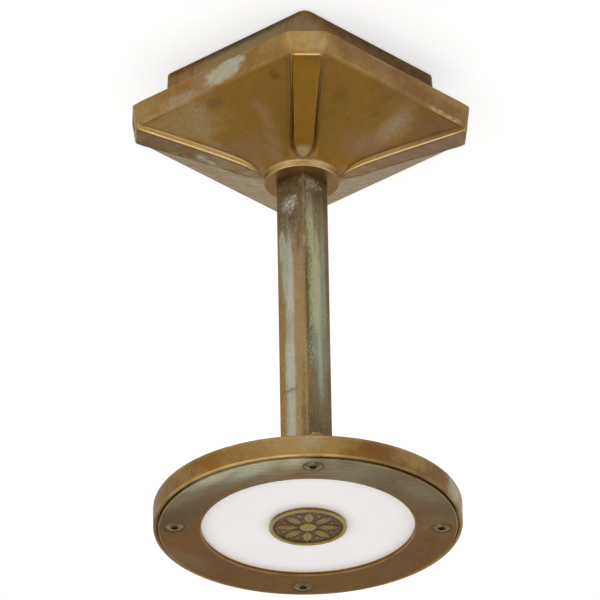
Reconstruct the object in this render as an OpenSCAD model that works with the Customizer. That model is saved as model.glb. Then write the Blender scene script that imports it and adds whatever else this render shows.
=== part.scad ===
// Outdoor ceiling light in aged brass: a box against the ceiling, a square flared canopy with
// ribs on its corners, a square stem and a round head with an opal light window.
// Millimetres. The ceiling face is z = 0 and the light hangs down from it. The canopy's sides
// are square to X and Y, so its ribs, the stem's edges and the head's screws lie on the diagonals.

/* [Ceiling box] */
// Outer width of the box at the ceiling
box_w = 102; // [96:1:112]
// Height of the box that shows above the canopy
box_show = 23; // [18:1:40]
// Wall of the box
box_wall = 2; // [1.5:0.1:3]
// Radius of the box's upright corners
box_corner_r = 5; // [3.5:0.5:8]
// Draft of the box's sides, in degrees
box_draft = 3.5; // [1:0.5:5]
// Foam seal between the box and the ceiling
foam_t = 1; // [0.5:0.1:2]
// Distance from the box's side to the nearer ceiling screw
ceiling_screw_inset = 11; // [10:0.5:16]
// Width of the ceiling screws' slots
ceiling_slot_w = 5; // [4:0.1:6]
// Length of the ceiling screws' slots
ceiling_slot_l = 11; // [8:0.5:13]
// Bore of the rubber grommet that the supply cable comes through
cable_bore = 8; // [6:0.5:9]

/* [Canopy] */
// Width of the canopy across its top edge
canopy_w = 140; // [134:1:170]
// Width of the fascia across its bottom edge
canopy_low_w = 135.4; // [130:0.2:164]
// Width of a cut corner at the top edge
cut_top_w = 19.6; // [14:0.2:24]
// Width of a cut corner at the bottom edge
cut_low_w = 16.7; // [12:0.1:22]
// Height of the fascia at the cut corners
fascia_h = 13.5; // [12:0.5:20]
// Drop of the flare from the fascia to the collar
flare_h = 27; // [22:1:50]
// Share of the flare that runs straight before it turns down into the collar
flare_straight = 0.87; // [0.7:0.01:0.95]
// Outer diameter of the collar
collar_d = 40; // [36:1:46]
// Height of the collar's upright wall
collar_h = 3.5; // [2.5:0.5:6]
// Thickness of the collar's end, which the stem is clamped to
collar_end_t = 4; // [3:0.5:5]
// Wall of the casting
canopy_wall = 2.2; // [1.8:0.1:3]
// Height of the corner ribs above the panels
rib_step = 2; // [1:0.1:3]
// Width of a rib where it starts to close to its tip
rib_waist_w = 12; // [9:0.5:14]
// Distance from the axis where a rib starts to close to its tip
rib_waist_r = 35; // [30:1:42]
// Width of the sloped side of a rib
rib_side_w = 1.2; // [0.6:0.1:2]

/* [Mounting plate] */
// Thickness of the plate that closes the canopy
plate_t = 2; // [1.5:0.1:3]
// Depth of the plate below the canopy's top edge
plate_inset = 1.2; // [1:0.1:2.5]
// Thickness of the rubber edging round the plate
edging_t = 1; // [0.8:0.1:1.4]
// Opening for the leads
lead_window_d = 36; // [30:1:44]
// Width of the two tabs that take the canopy's screws
tab_w = 12; // [10:0.5:14]

/* [Stem] */
// Length of stem that shows between the collar and the head
stem_drop = 190; // [120:5:500]
// Width of the square tube
stem_w = 20; // [18:0.5:22]
// Wall of the square tube
stem_wall = 1.5; // [1.2:0.1:2]
// Radius of the tube's edges
stem_corner_r = 2.1; // [1.8:0.1:3]
// Length of the square plugs in the tube's ends
plug_l = 14; // [10:1:20]
// Outer diameter of the threaded nipples
nipple_d = 10; // [9:0.5:11]
// Bore of the nipples
nipple_bore = 7; // [6.4:0.2:7.6]

/* [Head] */
// Outer diameter of the pan
pan_d = 160; // [154:1:190]
// Height of the pan
pan_h = 12; // [12:0.5:16]
// Thickness of the pan's roof
pan_roof_t = 2.5; // [2.2:0.1:2.6]
// Thickness of the rim that stands round the bezel
rim_t = 1.7; // [1.2:0.1:2.2]
// Groove between the rim and the bezel
groove_w = 0.9; // [0.5:0.1:1.5]
// Depth of the rim below the bezel's seat
rim_lip = 1.1; // [0.8:0.1:1.6]
// Thickness of the bezel
bezel_t = 2.1; // [1.8:0.1:2.6]
// Width of the bezel, from its edge to the light window
bezel_w = 22.1; // [21:0.1:28]
// Distance from the bezel's edge to the centres of its four screws
bezel_screw_inset = 8.4; // [7.6:0.1:8.8]
// Width that the opal disc lies on the bezel
opal_lap = 8.2; // [7:0.1:8.4]
// Thickness of the opal disc
opal_t = 3; // [2.6:0.1:3]
// Thickness of the silicone ring behind the opal disc
opal_seal_t = 1; // [0.8:0.1:1.2]

/* [Medallion] */
// Diameter of the medallion on the opal disc
medallion_d = 40.4; // [36:0.2:46]
// Thickness of the medallion over its rim
medallion_t = 2.1; // [1.8:0.1:2.6]
// Thickness of its adhesive pad
pad_t = 0.3; // [0.2:0.1:0.4]
// Petals of its rosette
petals = 8; // [6:1:9]

/* [Screws] */
// Head diameter of the bezel screws
bezel_head_d = 9.2; // [8.4:0.2:9.6]
// Shank diameter of the bezel screws
bezel_shank_d = 5; // [4.4:0.2:5]
// Shank diameter of the canopy, plate and earth screws
m4_d = 4; // [3.6:0.1:4]
// Shank diameter of the driver and board screws
m3_d = 3; // [2.6:0.1:3]

/* [Light source] */
// Gap between the LED board and the wall round it
board_gap = 2.5; // [1:0.1:6]
// Thickness of the LED board
board_t = 1.5; // [1:0.1:1.6]
// Thickness of the heat pad behind it
heat_pad_t = 0.5; // [0.3:0.1:0.6]
// Circle of the inner LEDs
led_circle_in = 54; // [50:1:58]
// Distance from the board's edge to the centres of the outer LEDs
led_inset = 9; // [4:0.5:12]
// Number of inner LEDs
leds_in = 8; // [4:1:10]
// Number of outer LEDs
leds_out = 16; // [8:1:20]

/* [Driver and terminals] */
// Length of the driver's case
driver_l = 70; // [60:1:70]
// Width of the driver's case
driver_w = 33; // [28:1:33]
// Height of the driver's case
driver_h = 17; // [14:0.5:18]
// Distance between two terminals
pole_pitch = 10; // [9:0.5:10]
// Outer diameter of the sheathed lead down the stem
lead_d = 5.6; // [5:0.2:5.8]
// Outer diameter of the single leads in the ceiling box
wire_d = 2.2; // [1.6:0.1:2.4]
// Outer diameter of the two fine leads in the head
fine_wire_d = 1; // [0.8:0.1:1.1]

/* [Fits] */
// Side clearance of a screw in its threaded hole
thread_gap = 0.05; // [0.03:0.01:0.08]
// Side clearance of a screw or nipple in a plain hole
hole_gap = 0.2; // [0.1:0.05:0.3]
// Side clearance between parts that are dropped into each other
slip_gap = 0.15; // [0.1:0.05:0.3]

/* [Hidden] */

$fn = 64;
over = 1;          // how far a cutting tool runs past the face it cuts
root2 = sqrt(2);

// Levels, from the ceiling down
z_box_top = -foam_t;
z_canopy_top = z_box_top - box_show;
z_plate_top = z_canopy_top - plate_inset;
z_plate_low = z_plate_top - plate_t;
z_fascia_low = z_canopy_top - fascia_h;
z_panel_top = z_fascia_low + rib_step;
z_collar_top = z_panel_top - flare_h;
z_collar_low = z_collar_top - collar_h;
z_collar_in = z_collar_low + collar_end_t;
z_pan_top = z_collar_low - stem_drop;
z_roof_low = z_pan_top - pan_roof_t;
z_rim_low = z_pan_top - pan_h;
z_bezel_seat = z_rim_low + rim_lip;
z_bezel_low = z_bezel_seat - bezel_t;
z_opal_top = z_bezel_seat + opal_t;
z_seal_top = z_opal_top + opal_seal_t;
z_board_top = z_roof_low - heat_pad_t;
z_board_low = z_board_top - board_t;

// Inside of the ceiling box
box_h = z_box_top - z_plate_top;
ceiling_screw_x = box_w / 2 - ceiling_screw_inset;
z_ledge = z_box_top - box_wall;             // underside of the box's top, which carries the driver
boss_r = 4.5;
boss_inset = 2.8;                           // gap between a post and the box's wall at its top
boss_xy = box_w / 2 - box_wall - boss_r - boss_inset;
drill_past = 1;                             // how far a blind hole runs past its screw's end
m4_r = m4_d / 2;
m3_r = m3_d / 2;
m4_cheese_r = 3.6;
m4_cheese_h = 2.4;
m3_head_r = 2.7;
plate_thread_l = 9;                         // thread of the plate's screws in the box's posts
driver_thread_l = 0.4;                      // thread of the driver's screws past their pads
pad_h = 2;                                  // pads that give the driver's screws some thread
pad_r = 3.2;
driver_y = 11 + driver_w / 2;               // the driver's long side clears the grommet
driver_lug = 7;
lug_x = driver_l / 2 + driver_lug / 2;
lug_y = 15.5;
lug_t = 2;
block_w = 18;
block_h = 14;
block_x = -14;                              // centre of the terminal block
block_y = 9 + block_w / 2 - (box_w / 2 - box_wall);
wire_z = z_ledge - 8.5;                     // level of the single leads
wire_row = block_y + block_w;               // the leads turn along X in this row, and one row out
wire_pitch = 4;
earth_x = 24;                               // centre of the earth screw
earth_y = block_y + 1;
tag_t = 1;
earth_boss_h = z_ledge - wire_z - tag_t / 2;
grommet_flange = 2.5;
grommet_r = cable_bore / 2 + 2;

// Mounting plate and canopy
edging_lip = 1.1;
edging_low = z_plate_low - edging_lip;
edging_high = z_plate_top + plate_inset * 0.6;
plate_gap = canopy_wall + edging_t + slip_gap;
plate_half = min(fascia_half(edging_low), fascia_half(edging_high)) - plate_gap;
plate_corner = min(fascia_corner(edging_low), fascia_corner(edging_high)) - plate_gap;
z_inner_top = z_panel_top + canopy_wall * 1.1;
tab_h = z_plate_low - z_inner_top - slip_gap;
tab_out = plate_corner;
tab_t = 3;
z_canopy_screw = z_plate_low - tab_h / 2 + 0.1;
collar_r = collar_d / 2;
collar_edge = 0.5;                          // small round at the collar's lower edge
m4_head_r = 3.8;
m4_head_h = 2.2;

// Stem
bore_w = stem_w - 2 * stem_wall;
bore_corner_r = stem_corner_r - stem_wall;
nipple_r = nipple_d / 2;
nipple_in_plug = 9;
nut_across = nipple_d + 4;
top_nut_h = 5;
top_washer_t = 1.4;
top_nipple_up = top_washer_t + top_nut_h + 3;
seal_wire_r = 0.9;
seal_r = nipple_r + 1.6;
bottom_nut_h = 2.5;
bottom_washer_t = 1;
washer_r = nipple_r + 4.2;

// Head
pan_r = pan_d / 2;
rim_in_r = pan_r - rim_t;
bezel_r = rim_in_r - groove_w;
seat_w = 2.8;                               // width of the pan's seat under the bezel's edge
window_r = bezel_r - bezel_w;
opal_r = window_r + opal_lap;
screw_r = bezel_r - bezel_screw_inset;
pan_boss_r = screw_r - opal_r - 0.6;
inner_wall_out = window_r + 6;
inner_wall_in = window_r + 2.5;
bezel_shank_r = bezel_shank_d / 2;
bezel_head_r = bezel_head_d / 2;
head_sink = 0.4;                            // how far the screw heads sit below the bezel's face
head_dome = 0.8;
sink_r = bezel_head_r + head_sink + 0.15;
screw_l = 8;
z_head = z_bezel_low + head_sink;
board_r = inner_wall_in - board_gap;
led_r_in = led_circle_in / 2;
led_r_out = board_r - led_inset;
board_screw_r = (led_r_in + led_r_out) / 2;
board_thread_l = 1.7;                       // thread of the board's screws in the pan's roof
board_window_r = nipple_r + 12;
connector_at = 27;
driver_end = driver_l / 2;

function mix(a, b, t) = a + (b - a) * t;

// Fascia: half width across the sides, and distance to the cut corners, at a level
function fascia_part(z) = (z_canopy_top - z) / fascia_h;
function fascia_half(z) = mix(canopy_w, canopy_low_w, fascia_part(z)) / 2;
function fascia_corner(z) = fascia_half(z) * root2 - mix(cut_top_w, cut_low_w, fascia_part(z)) / 2;

// Radius of a square with cut corners, at angle a from its diagonal
function outline(a, half, corner) = min(corner / cos(a), half / cos(45 - abs(a)));

// Flare: u runs from 0 at the fascia to 1 at the collar
function flare_fall(u) = flare_straight * u + (1 - flare_straight) * pow(u, 6);
function panel_r(a, u) =
    mix(outline(a, fascia_half(z_panel_top), fascia_corner(z_panel_top)), collar_r, u);
function panel_z(u) = z_panel_top - flare_h * flare_fall(u);

// Rib: half width at distance r along the diagonal, and its height over the panel
function rib_closing(r) = (rib_waist_r - r) / (rib_waist_r - collar_r + 0.4);
function rib_half(r) = r > rib_waist_r
    ? mix(rib_waist_w / 2, cut_low_w / 2,
        (r - rib_waist_r) / (fascia_corner(z_fascia_low) - rib_waist_r))
    : rib_waist_w / 2 * (1 - pow(rib_closing(r), 2));
function rib_rise(u) = 0.05 + (rib_step - 0.05) * (1 - pow(u, 8));
function rib_side(u) = 0.08 + (rib_side_w - 0.08) * (1 - pow(u, 8));

// Columns of one quarter, counted from the rib's centre line: the centre, the edge and the
// foot of the rib, then the panel up to the middle of the side
panel_columns = 5;
half_columns = panel_columns + 3;
columns = 8 * half_columns;
function turn(p, a) = [p[0] * cos(a) - p[1] * sin(a), p[0] * sin(a) + p[1] * cos(a), p[2]];
function ray(a, r, z) = [r * cos(a), r * sin(a), z];
function foot_angle(u, r) = asin(min(0.99, (rib_half(r) + rib_side(u)) / r));
function panel_angle(k, foot) = mix(foot, 45, (k - 2) / (panel_columns + 1));

// A point of the flare's row u in column k, 0 to half_columns, on the side s of the rib
function flare_point(u, k, s) =
    let (r = mix(fascia_corner(z_panel_top), collar_r, u), foot = foot_angle(u, r))
    k < 2 ? [r, s * k * rib_half(r), panel_z(u) - rib_rise(u)]
          : let (a = panel_angle(k, foot)) ray(s * a, panel_r(a, u), panel_z(u));

// A point of the fascia at level z in column k, where its side ends at level z_side. The inset
// is 0 outside and the wall inside.
function fascia_point(z, z_side, k, s, inset) =
    let (corner = fascia_corner(z) - inset, edge = (fascia_half(z) - inset) * root2 - corner)
    k < 2 ? [corner, s * k * edge, z]
          : let (a = panel_angle(k, atan2(edge + rib_side_w, corner)))
            ray(s * a, outline(a, fascia_half(z_side) - inset, fascia_corner(z_side) - inset), z_side);

// Columns run round a quarter from just past the middle of one side to the middle of the next
function column_k(i) = abs((i % (2 * half_columns)) - half_columns + 1);
function column_s(i) = (i % (2 * half_columns)) < half_columns - 1 ? -1 : 1;
function column_turn(i) = 45 + 90 * floor(i / (2 * half_columns));

function flare_row(u) =
    [for (i = [0 : columns - 1]) turn(flare_point(u, column_k(i), column_s(i)), column_turn(i))];
function fascia_row(z, z_side, inset) =
    [for (i = [0 : columns - 1])
        turn(fascia_point(z, z_side, column_k(i), column_s(i), inset), column_turn(i))];
function ring_row(row, r, z) = [for (p = row) ray(atan2(p[1], p[0]), r, z)];

// Inside of the casting, which follows the panels and not the ribs
inner_collar_r = collar_r - 6;
inner_rim = fascia_row(z_inner_top, z_inner_top, canopy_wall);
inner_collar = ring_row(inner_rim, inner_collar_r, z_collar_in);
function inner_row(u) =
    [for (i = [0 : columns - 1])
        let (p = inner_rim[i], q = inner_collar[i])
        [mix(p[0], q[0], u), mix(p[1], q[1], u), mix(p[2], q[2], flare_fall(u))]];

// Faces of a stack of closed rows, joined to each other and the last one to the first
function band_faces(rows, n) =
    [for (j = [0 : rows - 1], i = [0 : n - 1], half = [0, 1])
        let (a = j * n + i, b = j * n + (i + 1) % n,
             c = ((j + 1) % rows) * n + i, d = ((j + 1) % rows) * n + (i + 1) % n)
        half == 0 ? [a, b, c] : [b, d, c]];
function joined(list) = [for (part = list) for (p = part) p];

flare_rows = 14;
inner_rows = 8;
core_r = 3;

module canopy_casting() {
    rows = concat(
        [fascia_row(z_canopy_top, z_canopy_top, 0), fascia_row(z_fascia_low, z_panel_top, 0)],
        [for (i = [1 : flare_rows]) flare_row(1 - pow(1 - i / flare_rows, 1.5))],
        [ring_row(flare_row(1), collar_r, z_collar_low + collar_edge),
         ring_row(flare_row(1), collar_r - collar_edge, z_collar_low),
         ring_row(inner_rim, core_r, z_collar_low), ring_row(inner_rim, core_r, z_collar_in)],
        [for (i = [inner_rows : -1 : 0]) inner_row(i / inner_rows)],
        [fascia_row(z_canopy_top, z_canopy_top, canopy_wall)]);
    polyhedron(points = joined(rows), faces = band_faces(len(rows), columns), convexity = 6);
}

// Shapes that repeat
module at_corners(d) {
    for (a = [45 : 90 : 315]) rotate(a) translate([d, 0, 0]) children();
}

module at_screw_corners() {
    for (a = [45, 225]) rotate(a) children();
}

module slot(l, w, h) {
    for (s = [-1, 1]) translate([s * (l - w) / 2, 0, 0]) cylinder(d = w, h = h);
    translate([-(l - w) / 2, -w / 2, 0]) cube([l - w, w, h]);
}

module tube(r_out, r_in, h) {
    difference() {
        cylinder(r = r_out, h = h);
        translate([0, 0, -over]) cylinder(r = r_in, h = h + 2 * over);
    }
}

// Square bar with round edges, from z = 0 up
module round_square(w, r, h) {
    flat = w - 2 * r;
    translate([-w / 2, -flat / 2, 0]) cube([w, flat, h]);
    translate([-flat / 2, -w / 2, 0]) cube([flat, w, h]);
    for (x = [-1, 1], y = [-1, 1])
        translate([x * flat / 2, y * flat / 2, 0]) cylinder(r = r, h = h);
}

// Box whose sides lean out going down, from its top face at z = 0
module drafted_box(w, r, h, draft) {
    grow = h * tan(draft);
    flat = w / 2 - r;
    for (x = [-1, 1], y = [-1, 1])
        translate([x * flat, y * flat, -h]) cylinder(r1 = r + grow, r2 = r, h = h);
    for (a = [0, 90])
        rotate([90, 0, a]) translate([0, 0, -flat]) linear_extrude(2 * flat)
            polygon([[-w / 2, 0], [w / 2, 0], [w / 2 + grow, -h], [-w / 2 - grow, -h]]);
}

// Square plate with cut corners
module cut_plate(half, corner, h) {
    intersection() {
        translate([-half, -half, 0]) cube([2 * half, 2 * half, h]);
        rotate(45) translate([-corner, -corner, 0]) cube([2 * corner, 2 * corner, h]);
    }
}

// Screw with a cheese head, its head's seat at z = 0, its shank going up
module cheese_screw(r, head_r, head_h, l) {
    difference() {
        translate([0, 0, -head_h]) cylinder(r = head_r, h = head_h);
        translate([-head_r - over, -head_r / 6, -head_h - over])
            cube([2 * (head_r + over), head_r / 3, over + head_h / 2]);
    }
    cylinder(r = r, h = l);
}

module hex_nut(across, h, hole_r) {
    difference() {
        cylinder(d = across / cos(30), h = h, $fn = 6);
        translate([0, 0, -over]) cylinder(r = hole_r, h = h + 2 * over);
    }
}

// Round lead along a path of corners, each run square to the one before it, with bends of one
// radius. A run's direction and the next one's span the plane of the bend between them.
function unit(v) = v / norm(v);
module between(p, q, r) {
    v = q - p;
    l = norm(v);
    translate(p) rotate([0, acos(v[2] / l), atan2(v[1], v[0])]) cylinder(r = r, h = l, $fn = 32);
}

module bend_at(corner, u, v, bend, r) {
    w = cross(u, v);
    centre = corner - bend * u + bend * v;
    multmatrix([[-v[0], u[0], w[0], centre[0]], [-v[1], u[1], w[1], centre[1]],
                [-v[2], u[2], w[2], centre[2]]])
        rotate_extrude(angle = 90) translate([bend, 0]) circle(r = r, $fn = 32);
}

module lead(path, bend, r) {
    last = len(path) - 1;
    for (i = [0 : last - 1]) {
        d = unit(path[i + 1] - path[i]);
        between(path[i] + (i == 0 ? 0 : bend) * d, path[i + 1] - (i == last - 1 ? 0 : bend) * d, r);
    }
    for (i = [1 : last - 1])
        bend_at(path[i], unit(path[i] - path[i - 1]), unit(path[i + 1] - path[i]), bend, r);
}

// Ceiling box and what it holds
module ceiling_foam() {
    color([0.16, 0.16, 0.16]) difference() {
        translate([0, 0, z_box_top]) round_square(box_w - 3, box_corner_r - 1.5, foam_t);
        translate([0, 0, z_box_top - over])
            cylinder(r = grommet_r + grommet_flange + 0.5, h = foam_t + 2 * over);
        for (s = [-1, 1]) translate([s * ceiling_screw_x, 0, z_box_top - over])
            slot(ceiling_slot_l, ceiling_slot_w, foam_t + 2 * over);
    }
}

module ceiling_box() {
    color([0.42, 0.35, 0.22]) difference() {
        union() {
            difference() {
                translate([0, 0, z_box_top]) drafted_box(box_w, box_corner_r, box_h, box_draft);
                translate([0, 0, z_ledge])
                    drafted_box(box_w - 2 * box_wall, box_corner_r - box_wall, box_h, box_draft);
            }
            for (x = [-1, 1], y = [-1, 1])
                translate([x * boss_xy, y * boss_xy, z_plate_top])
                    cylinder(r = boss_r, h = box_h - box_wall / 2);
            translate([earth_x, earth_y, z_ledge - earth_boss_h])
                cylinder(r = boss_r, h = earth_boss_h + box_wall / 2);
            for (s = [-1, 1])
                translate([s * lug_x, lug_y, z_ledge - pad_h])
                    cylinder(r = pad_r, h = pad_h + box_wall / 2);
        }
        for (x = [-1, 1], y = [-1, 1])
            translate([x * boss_xy, y * boss_xy, z_plate_top - over])
                cylinder(r = m4_r + thread_gap, h = plate_thread_l + drill_past + over);
        translate([earth_x, earth_y, z_ledge - earth_boss_h - over])
            cylinder(r = m4_r + thread_gap, h = earth_boss_h + over);
        for (s = [-1, 1])
            translate([s * lug_x, lug_y, z_ledge - pad_h - over])
                cylinder(r = m3_r + thread_gap, h = pad_h + over + driver_thread_l + 0.4);
        for (s = [-1, 1]) translate([s * ceiling_screw_x, 0, z_ledge - over])
            slot(ceiling_slot_l, ceiling_slot_w, box_wall + 2 * over);
        translate([0, 0, z_ledge - over]) cylinder(r = grommet_r + slip_gap, h = box_wall + 2 * over);
    }
}

module cable_grommet() {
    lip = 1;
    color([0.1, 0.1, 0.1]) difference() {
        union() {
            translate([0, 0, z_ledge - lip]) cylinder(r = grommet_r + grommet_flange, h = lip);
            translate([0, 0, z_ledge - lip]) cylinder(r = grommet_r, h = box_wall + lip);
            translate([0, 0, z_box_top]) cylinder(r = grommet_r + grommet_flange, h = foam_t);
        }
        translate([0, 0, z_ledge - lip - over])
            cylinder(d = cable_bore, h = box_wall + lip + foam_t + 2 * over);
    }
}

poles = 3;
block_l = poles * pole_pitch;
function pole_x(i) = block_x + (i - (poles - 1) / 2) * pole_pitch;
pole_hole_r = wire_d / 2 + hole_gap;
pole_screw_r = 1.6;
pole_screw_y = 5;
pole_screw_depth = 3.5;
pole_screw_sink = 0.6;
pole_groove_w = 1.2;
pole_groove_depth = 3;

module terminal_block() {
    color([0.88, 0.86, 0.8]) difference() {
        translate([block_x - block_l / 2, block_y - block_w / 2, z_ledge - block_h])
            cube([block_l, block_w, block_h]);
        for (i = [0 : poles - 1]) {
            translate([pole_x(i), block_y - block_w / 2 - over, wire_z]) rotate([-90, 0, 0])
                cylinder(r = pole_hole_r, h = block_w + 2 * over, $fn = 32);
            for (s = [-1, 1])
                translate([pole_x(i), block_y + s * pole_screw_y, z_ledge - block_h - over])
                    cylinder(r = pole_screw_r + thread_gap, h = pole_screw_depth + over, $fn = 32);
        }
        for (i = [0 : poles - 2])
            translate([(pole_x(i) + pole_x(i + 1) - pole_groove_w) / 2, block_y - block_w / 2 - over,
                z_ledge - block_h - over])
                cube([pole_groove_w, block_w + 2 * over, pole_groove_depth + over]);
    }
}

module terminal_screws() {
    color([0.75, 0.65, 0.35]) for (i = [0 : poles - 1], s = [-1, 1])
        translate([pole_x(i), block_y + s * pole_screw_y, z_ledge - block_h + pole_screw_sink])
            difference() {
                cylinder(r = pole_screw_r, h = pole_screw_depth - pole_screw_sink, $fn = 32);
                translate([-pole_screw_r - over, -pole_screw_r / 5, -over])
                    cube([2 * (pole_screw_r + over), pole_screw_r * 0.4, over + pole_screw_r / 2]);
            }
}

module driver() {
    label_w = 14;
    label_end = 8;
    label_depth = 0.5;
    dimple_r = 1.5;
    dimple_inset = 6;
    color([0.93, 0.93, 0.92]) difference() {
        union() {
            translate([-driver_end, driver_y - driver_w / 2, z_ledge - driver_h])
                cube([driver_l, driver_w, driver_h]);
            for (s = [-1, 1]) {
                translate([s * lug_x, lug_y, z_ledge - pad_h - lug_t])
                    cylinder(r = driver_lug / 2, h = lug_t);
                translate([s > 0 ? driver_end : -lug_x, lug_y - driver_lug / 2, z_ledge - pad_h - lug_t])
                    cube([lug_x - driver_end, driver_lug, lug_t]);
            }
        }
        for (s = [-1, 1]) translate([s * lug_x, lug_y, z_ledge - pad_h - lug_t - over])
            cylinder(r = m3_r + hole_gap, h = lug_t + 2 * over);
        translate([0, driver_y, z_ledge - driver_h - over])
            slot(driver_l - 2 * label_end, label_w, over + label_depth);
        for (s = [-1, 1]) translate([s * (driver_end - dimple_inset / 2),
            driver_y - driver_w / 2 + dimple_inset, z_ledge - driver_h - over])
                cylinder(r = dimple_r, h = over + 1);
    }
}

module driver_screws() {
    color([0.7, 0.7, 0.72]) for (s = [-1, 1])
        translate([s * lug_x, lug_y, z_ledge - pad_h - lug_t])
            cheese_screw(m3_r, m3_head_r, 1.9, lug_t + pad_h + driver_thread_l);
}

// Ring tag with a crimped barrel for the earth lead, which starts tag_bottom from the screw
tag_r = 3.9;
tag_barrel_l = 5;
tag_bottom = tag_r + 2.5;

module earth_tag() {
    neck_w = 2;
    barrel_wall = 0.5;
    z = z_ledge - earth_boss_h - tag_t;
    color([0.8, 0.78, 0.7]) {
        difference() {
            translate([earth_x, earth_y, z]) cylinder(r = tag_r, h = tag_t);
            translate([earth_x, earth_y, z - over]) cylinder(r = m4_r + hole_gap, h = tag_t + 2 * over);
        }
        translate([earth_x - neck_w / 2, earth_y + tag_r - 0.3, z])
            cube([neck_w, tag_bottom - tag_r, tag_t]);
        difference() {
            translate([earth_x, earth_y + tag_bottom - 1, wire_z]) rotate([-90, 0, 0])
                cylinder(r = wire_d / 2 + barrel_wall, h = tag_barrel_l, $fn = 32);
            translate([earth_x, earth_y + tag_bottom, wire_z]) rotate([-90, 0, 0])
                cylinder(r = wire_d / 2 + thread_gap, h = tag_barrel_l, $fn = 32);
        }
    }
}

module earth_screw() {
    color([0.75, 0.65, 0.35]) translate([earth_x, earth_y, z_ledge - earth_boss_h - tag_t])
        cheese_screw(m4_r, m4_cheese_r, m4_cheese_h, tag_t + earth_boss_h - 1);
}

// Leads from the terminals to the driver's end, which they enter side by side
wire_start_y = block_y + block_w / 2 - 6;

module supply_leads() {
    entry = 4;                              // from the driver's centre line to a lead
    outer_row = wire_row - wire_pitch;
    live_x = -boss_xy - 1;
    neutral_x = live_x + wire_pitch;
    color([0.45, 0.25, 0.12]) lead([[pole_x(0), wire_start_y, wire_z], [pole_x(0), outer_row, wire_z],
        [live_x, outer_row, wire_z], [live_x, driver_y + entry, wire_z],
        [-driver_end, driver_y + entry, wire_z]], 3.5, wire_d / 2);
    color([0.15, 0.3, 0.6]) lead([[pole_x(1), wire_start_y, wire_z], [pole_x(1), wire_row, wire_z],
        [neutral_x, wire_row, wire_z], [neutral_x, driver_y - entry, wire_z],
        [-driver_end, driver_y - entry, wire_z]], 2, wire_d / 2);
}

module earth_lead() {
    color([0.35, 0.55, 0.15]) lead([[pole_x(2), wire_start_y, wire_z], [pole_x(2), wire_row, wire_z],
        [earth_x, wire_row, wire_z], [earth_x, earth_y + tag_bottom + 0.2, wire_z]], 3.5, wire_d / 2);
}

// Mounting plate
module mounting_plate() {
    color([0.72, 0.73, 0.74]) difference() {
        union() {
            translate([0, 0, z_plate_low]) cut_plate(plate_half, plate_corner, plate_t);
            at_screw_corners() translate([tab_out - tab_t, -tab_w / 2, z_plate_low - tab_h])
                cube([tab_t, tab_w, tab_h + plate_t / 2]);
        }
        translate([0, 0, z_plate_low - over]) cylinder(d = lead_window_d, h = plate_t + 2 * over);
        for (x = [-1, 1], y = [-1, 1])
            translate([x * boss_xy, y * boss_xy, z_plate_low - over])
                cylinder(r = m4_r + hole_gap, h = plate_t + 2 * over);
        at_screw_corners() translate([tab_out - tab_t - over, 0, z_canopy_screw]) rotate([0, 90, 0])
            cylinder(r = m4_r + thread_gap, h = tab_t + 2 * over);
    }
}

module plate_screws() {
    color([0.7, 0.7, 0.72]) for (x = [-1, 1], y = [-1, 1])
        translate([x * boss_xy, y * boss_xy, z_plate_low])
            cheese_screw(m4_r, m4_cheese_r, m4_cheese_h, plate_t + plate_thread_l);
}

module plate_edging() {
    lip_w = 3;
    groove = 0.02;
    color([0.08, 0.08, 0.08]) difference() {
        translate([0, 0, edging_low])
            cut_plate(plate_half + edging_t, plate_corner + edging_t, edging_high - edging_low);
        translate([0, 0, edging_low - over])
            cut_plate(plate_half - lip_w, plate_corner - lip_w, edging_high - edging_low + 2 * over);
        translate([0, 0, z_plate_low - groove])
            cut_plate(plate_half + groove, plate_corner + groove, plate_t + 2 * groove);
        at_screw_corners()
            translate([plate_corner - lip_w - over, -tab_w / 2 - slip_gap, edging_low - over])
                cube([lip_w + edging_t + 2 * over, tab_w + 2 * slip_gap, edging_lip + over]);
    }
}

// Canopy
module canopy() {
    face = fascia_corner(z_canopy_screw);
    color([0.5, 0.38, 0.17]) difference() {
        canopy_casting();
        translate([0, 0, z_collar_low - over])
            cylinder(r = nipple_r + hole_gap, h = collar_end_t + 2 * over);
        at_screw_corners() translate([face, 0, z_canopy_screw]) rotate([0, -90, 0]) {
            translate([0, 0, -over]) cylinder(r = m4_r + hole_gap, h = canopy_wall * 2 + over);
            translate([0, 0, -over]) cylinder(r1 = m4_head_r + hole_gap + over, r2 = m4_r + hole_gap,
                h = m4_head_h + over);
        }
    }
}

module canopy_screws() {
    face = fascia_corner(z_canopy_screw);
    length = face - tab_out + tab_t + 1;
    sink = 0.25;
    color([0.5, 0.4, 0.22]) at_screw_corners()
        translate([face - sink, 0, z_canopy_screw]) rotate([0, -90, 0]) difference() {
            union() {
                cylinder(r1 = m4_head_r, r2 = m4_r, h = m4_head_h - sink);
                cylinder(r = m4_r, h = length - sink);
            }
            translate([0, 0, -over]) cylinder(r = 1.4, h = over + 1.2, $fn = 6);
        }
}

// Stem and its fixings
module nipple(z_low, z_high) {
    translate([0, 0, z_low]) tube(nipple_r, nipple_bore / 2, z_high - z_low);
}

module plug(z_low, seal_end) {
    r = max(0.2, bore_corner_r - slip_gap / 2);
    groove_z = seal_end > 0 ? z_low + plug_l - seal_wire_r * 1.8 : z_low - over;
    difference() {
        translate([0, 0, z_low]) round_square(bore_w - slip_gap, r, plug_l);
        translate([0, 0, z_low - over]) cylinder(r = nipple_r + thread_gap, h = plug_l + 2 * over);
        translate([0, 0, groove_z]) cylinder(r = seal_r + seal_wire_r, h = seal_wire_r * 1.8 + over);
    }
}

module seal_ring(z) {
    translate([0, 0, z]) rotate_extrude()
        translate([seal_r, 0]) circle(r = seal_wire_r * 0.88, $fn = 32);
}

module top_nut() {
    color([0.7, 0.58, 0.3]) translate([0, 0, z_collar_in + top_washer_t])
        hex_nut(nut_across, top_nut_h, nipple_r + thread_gap);
}

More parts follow.
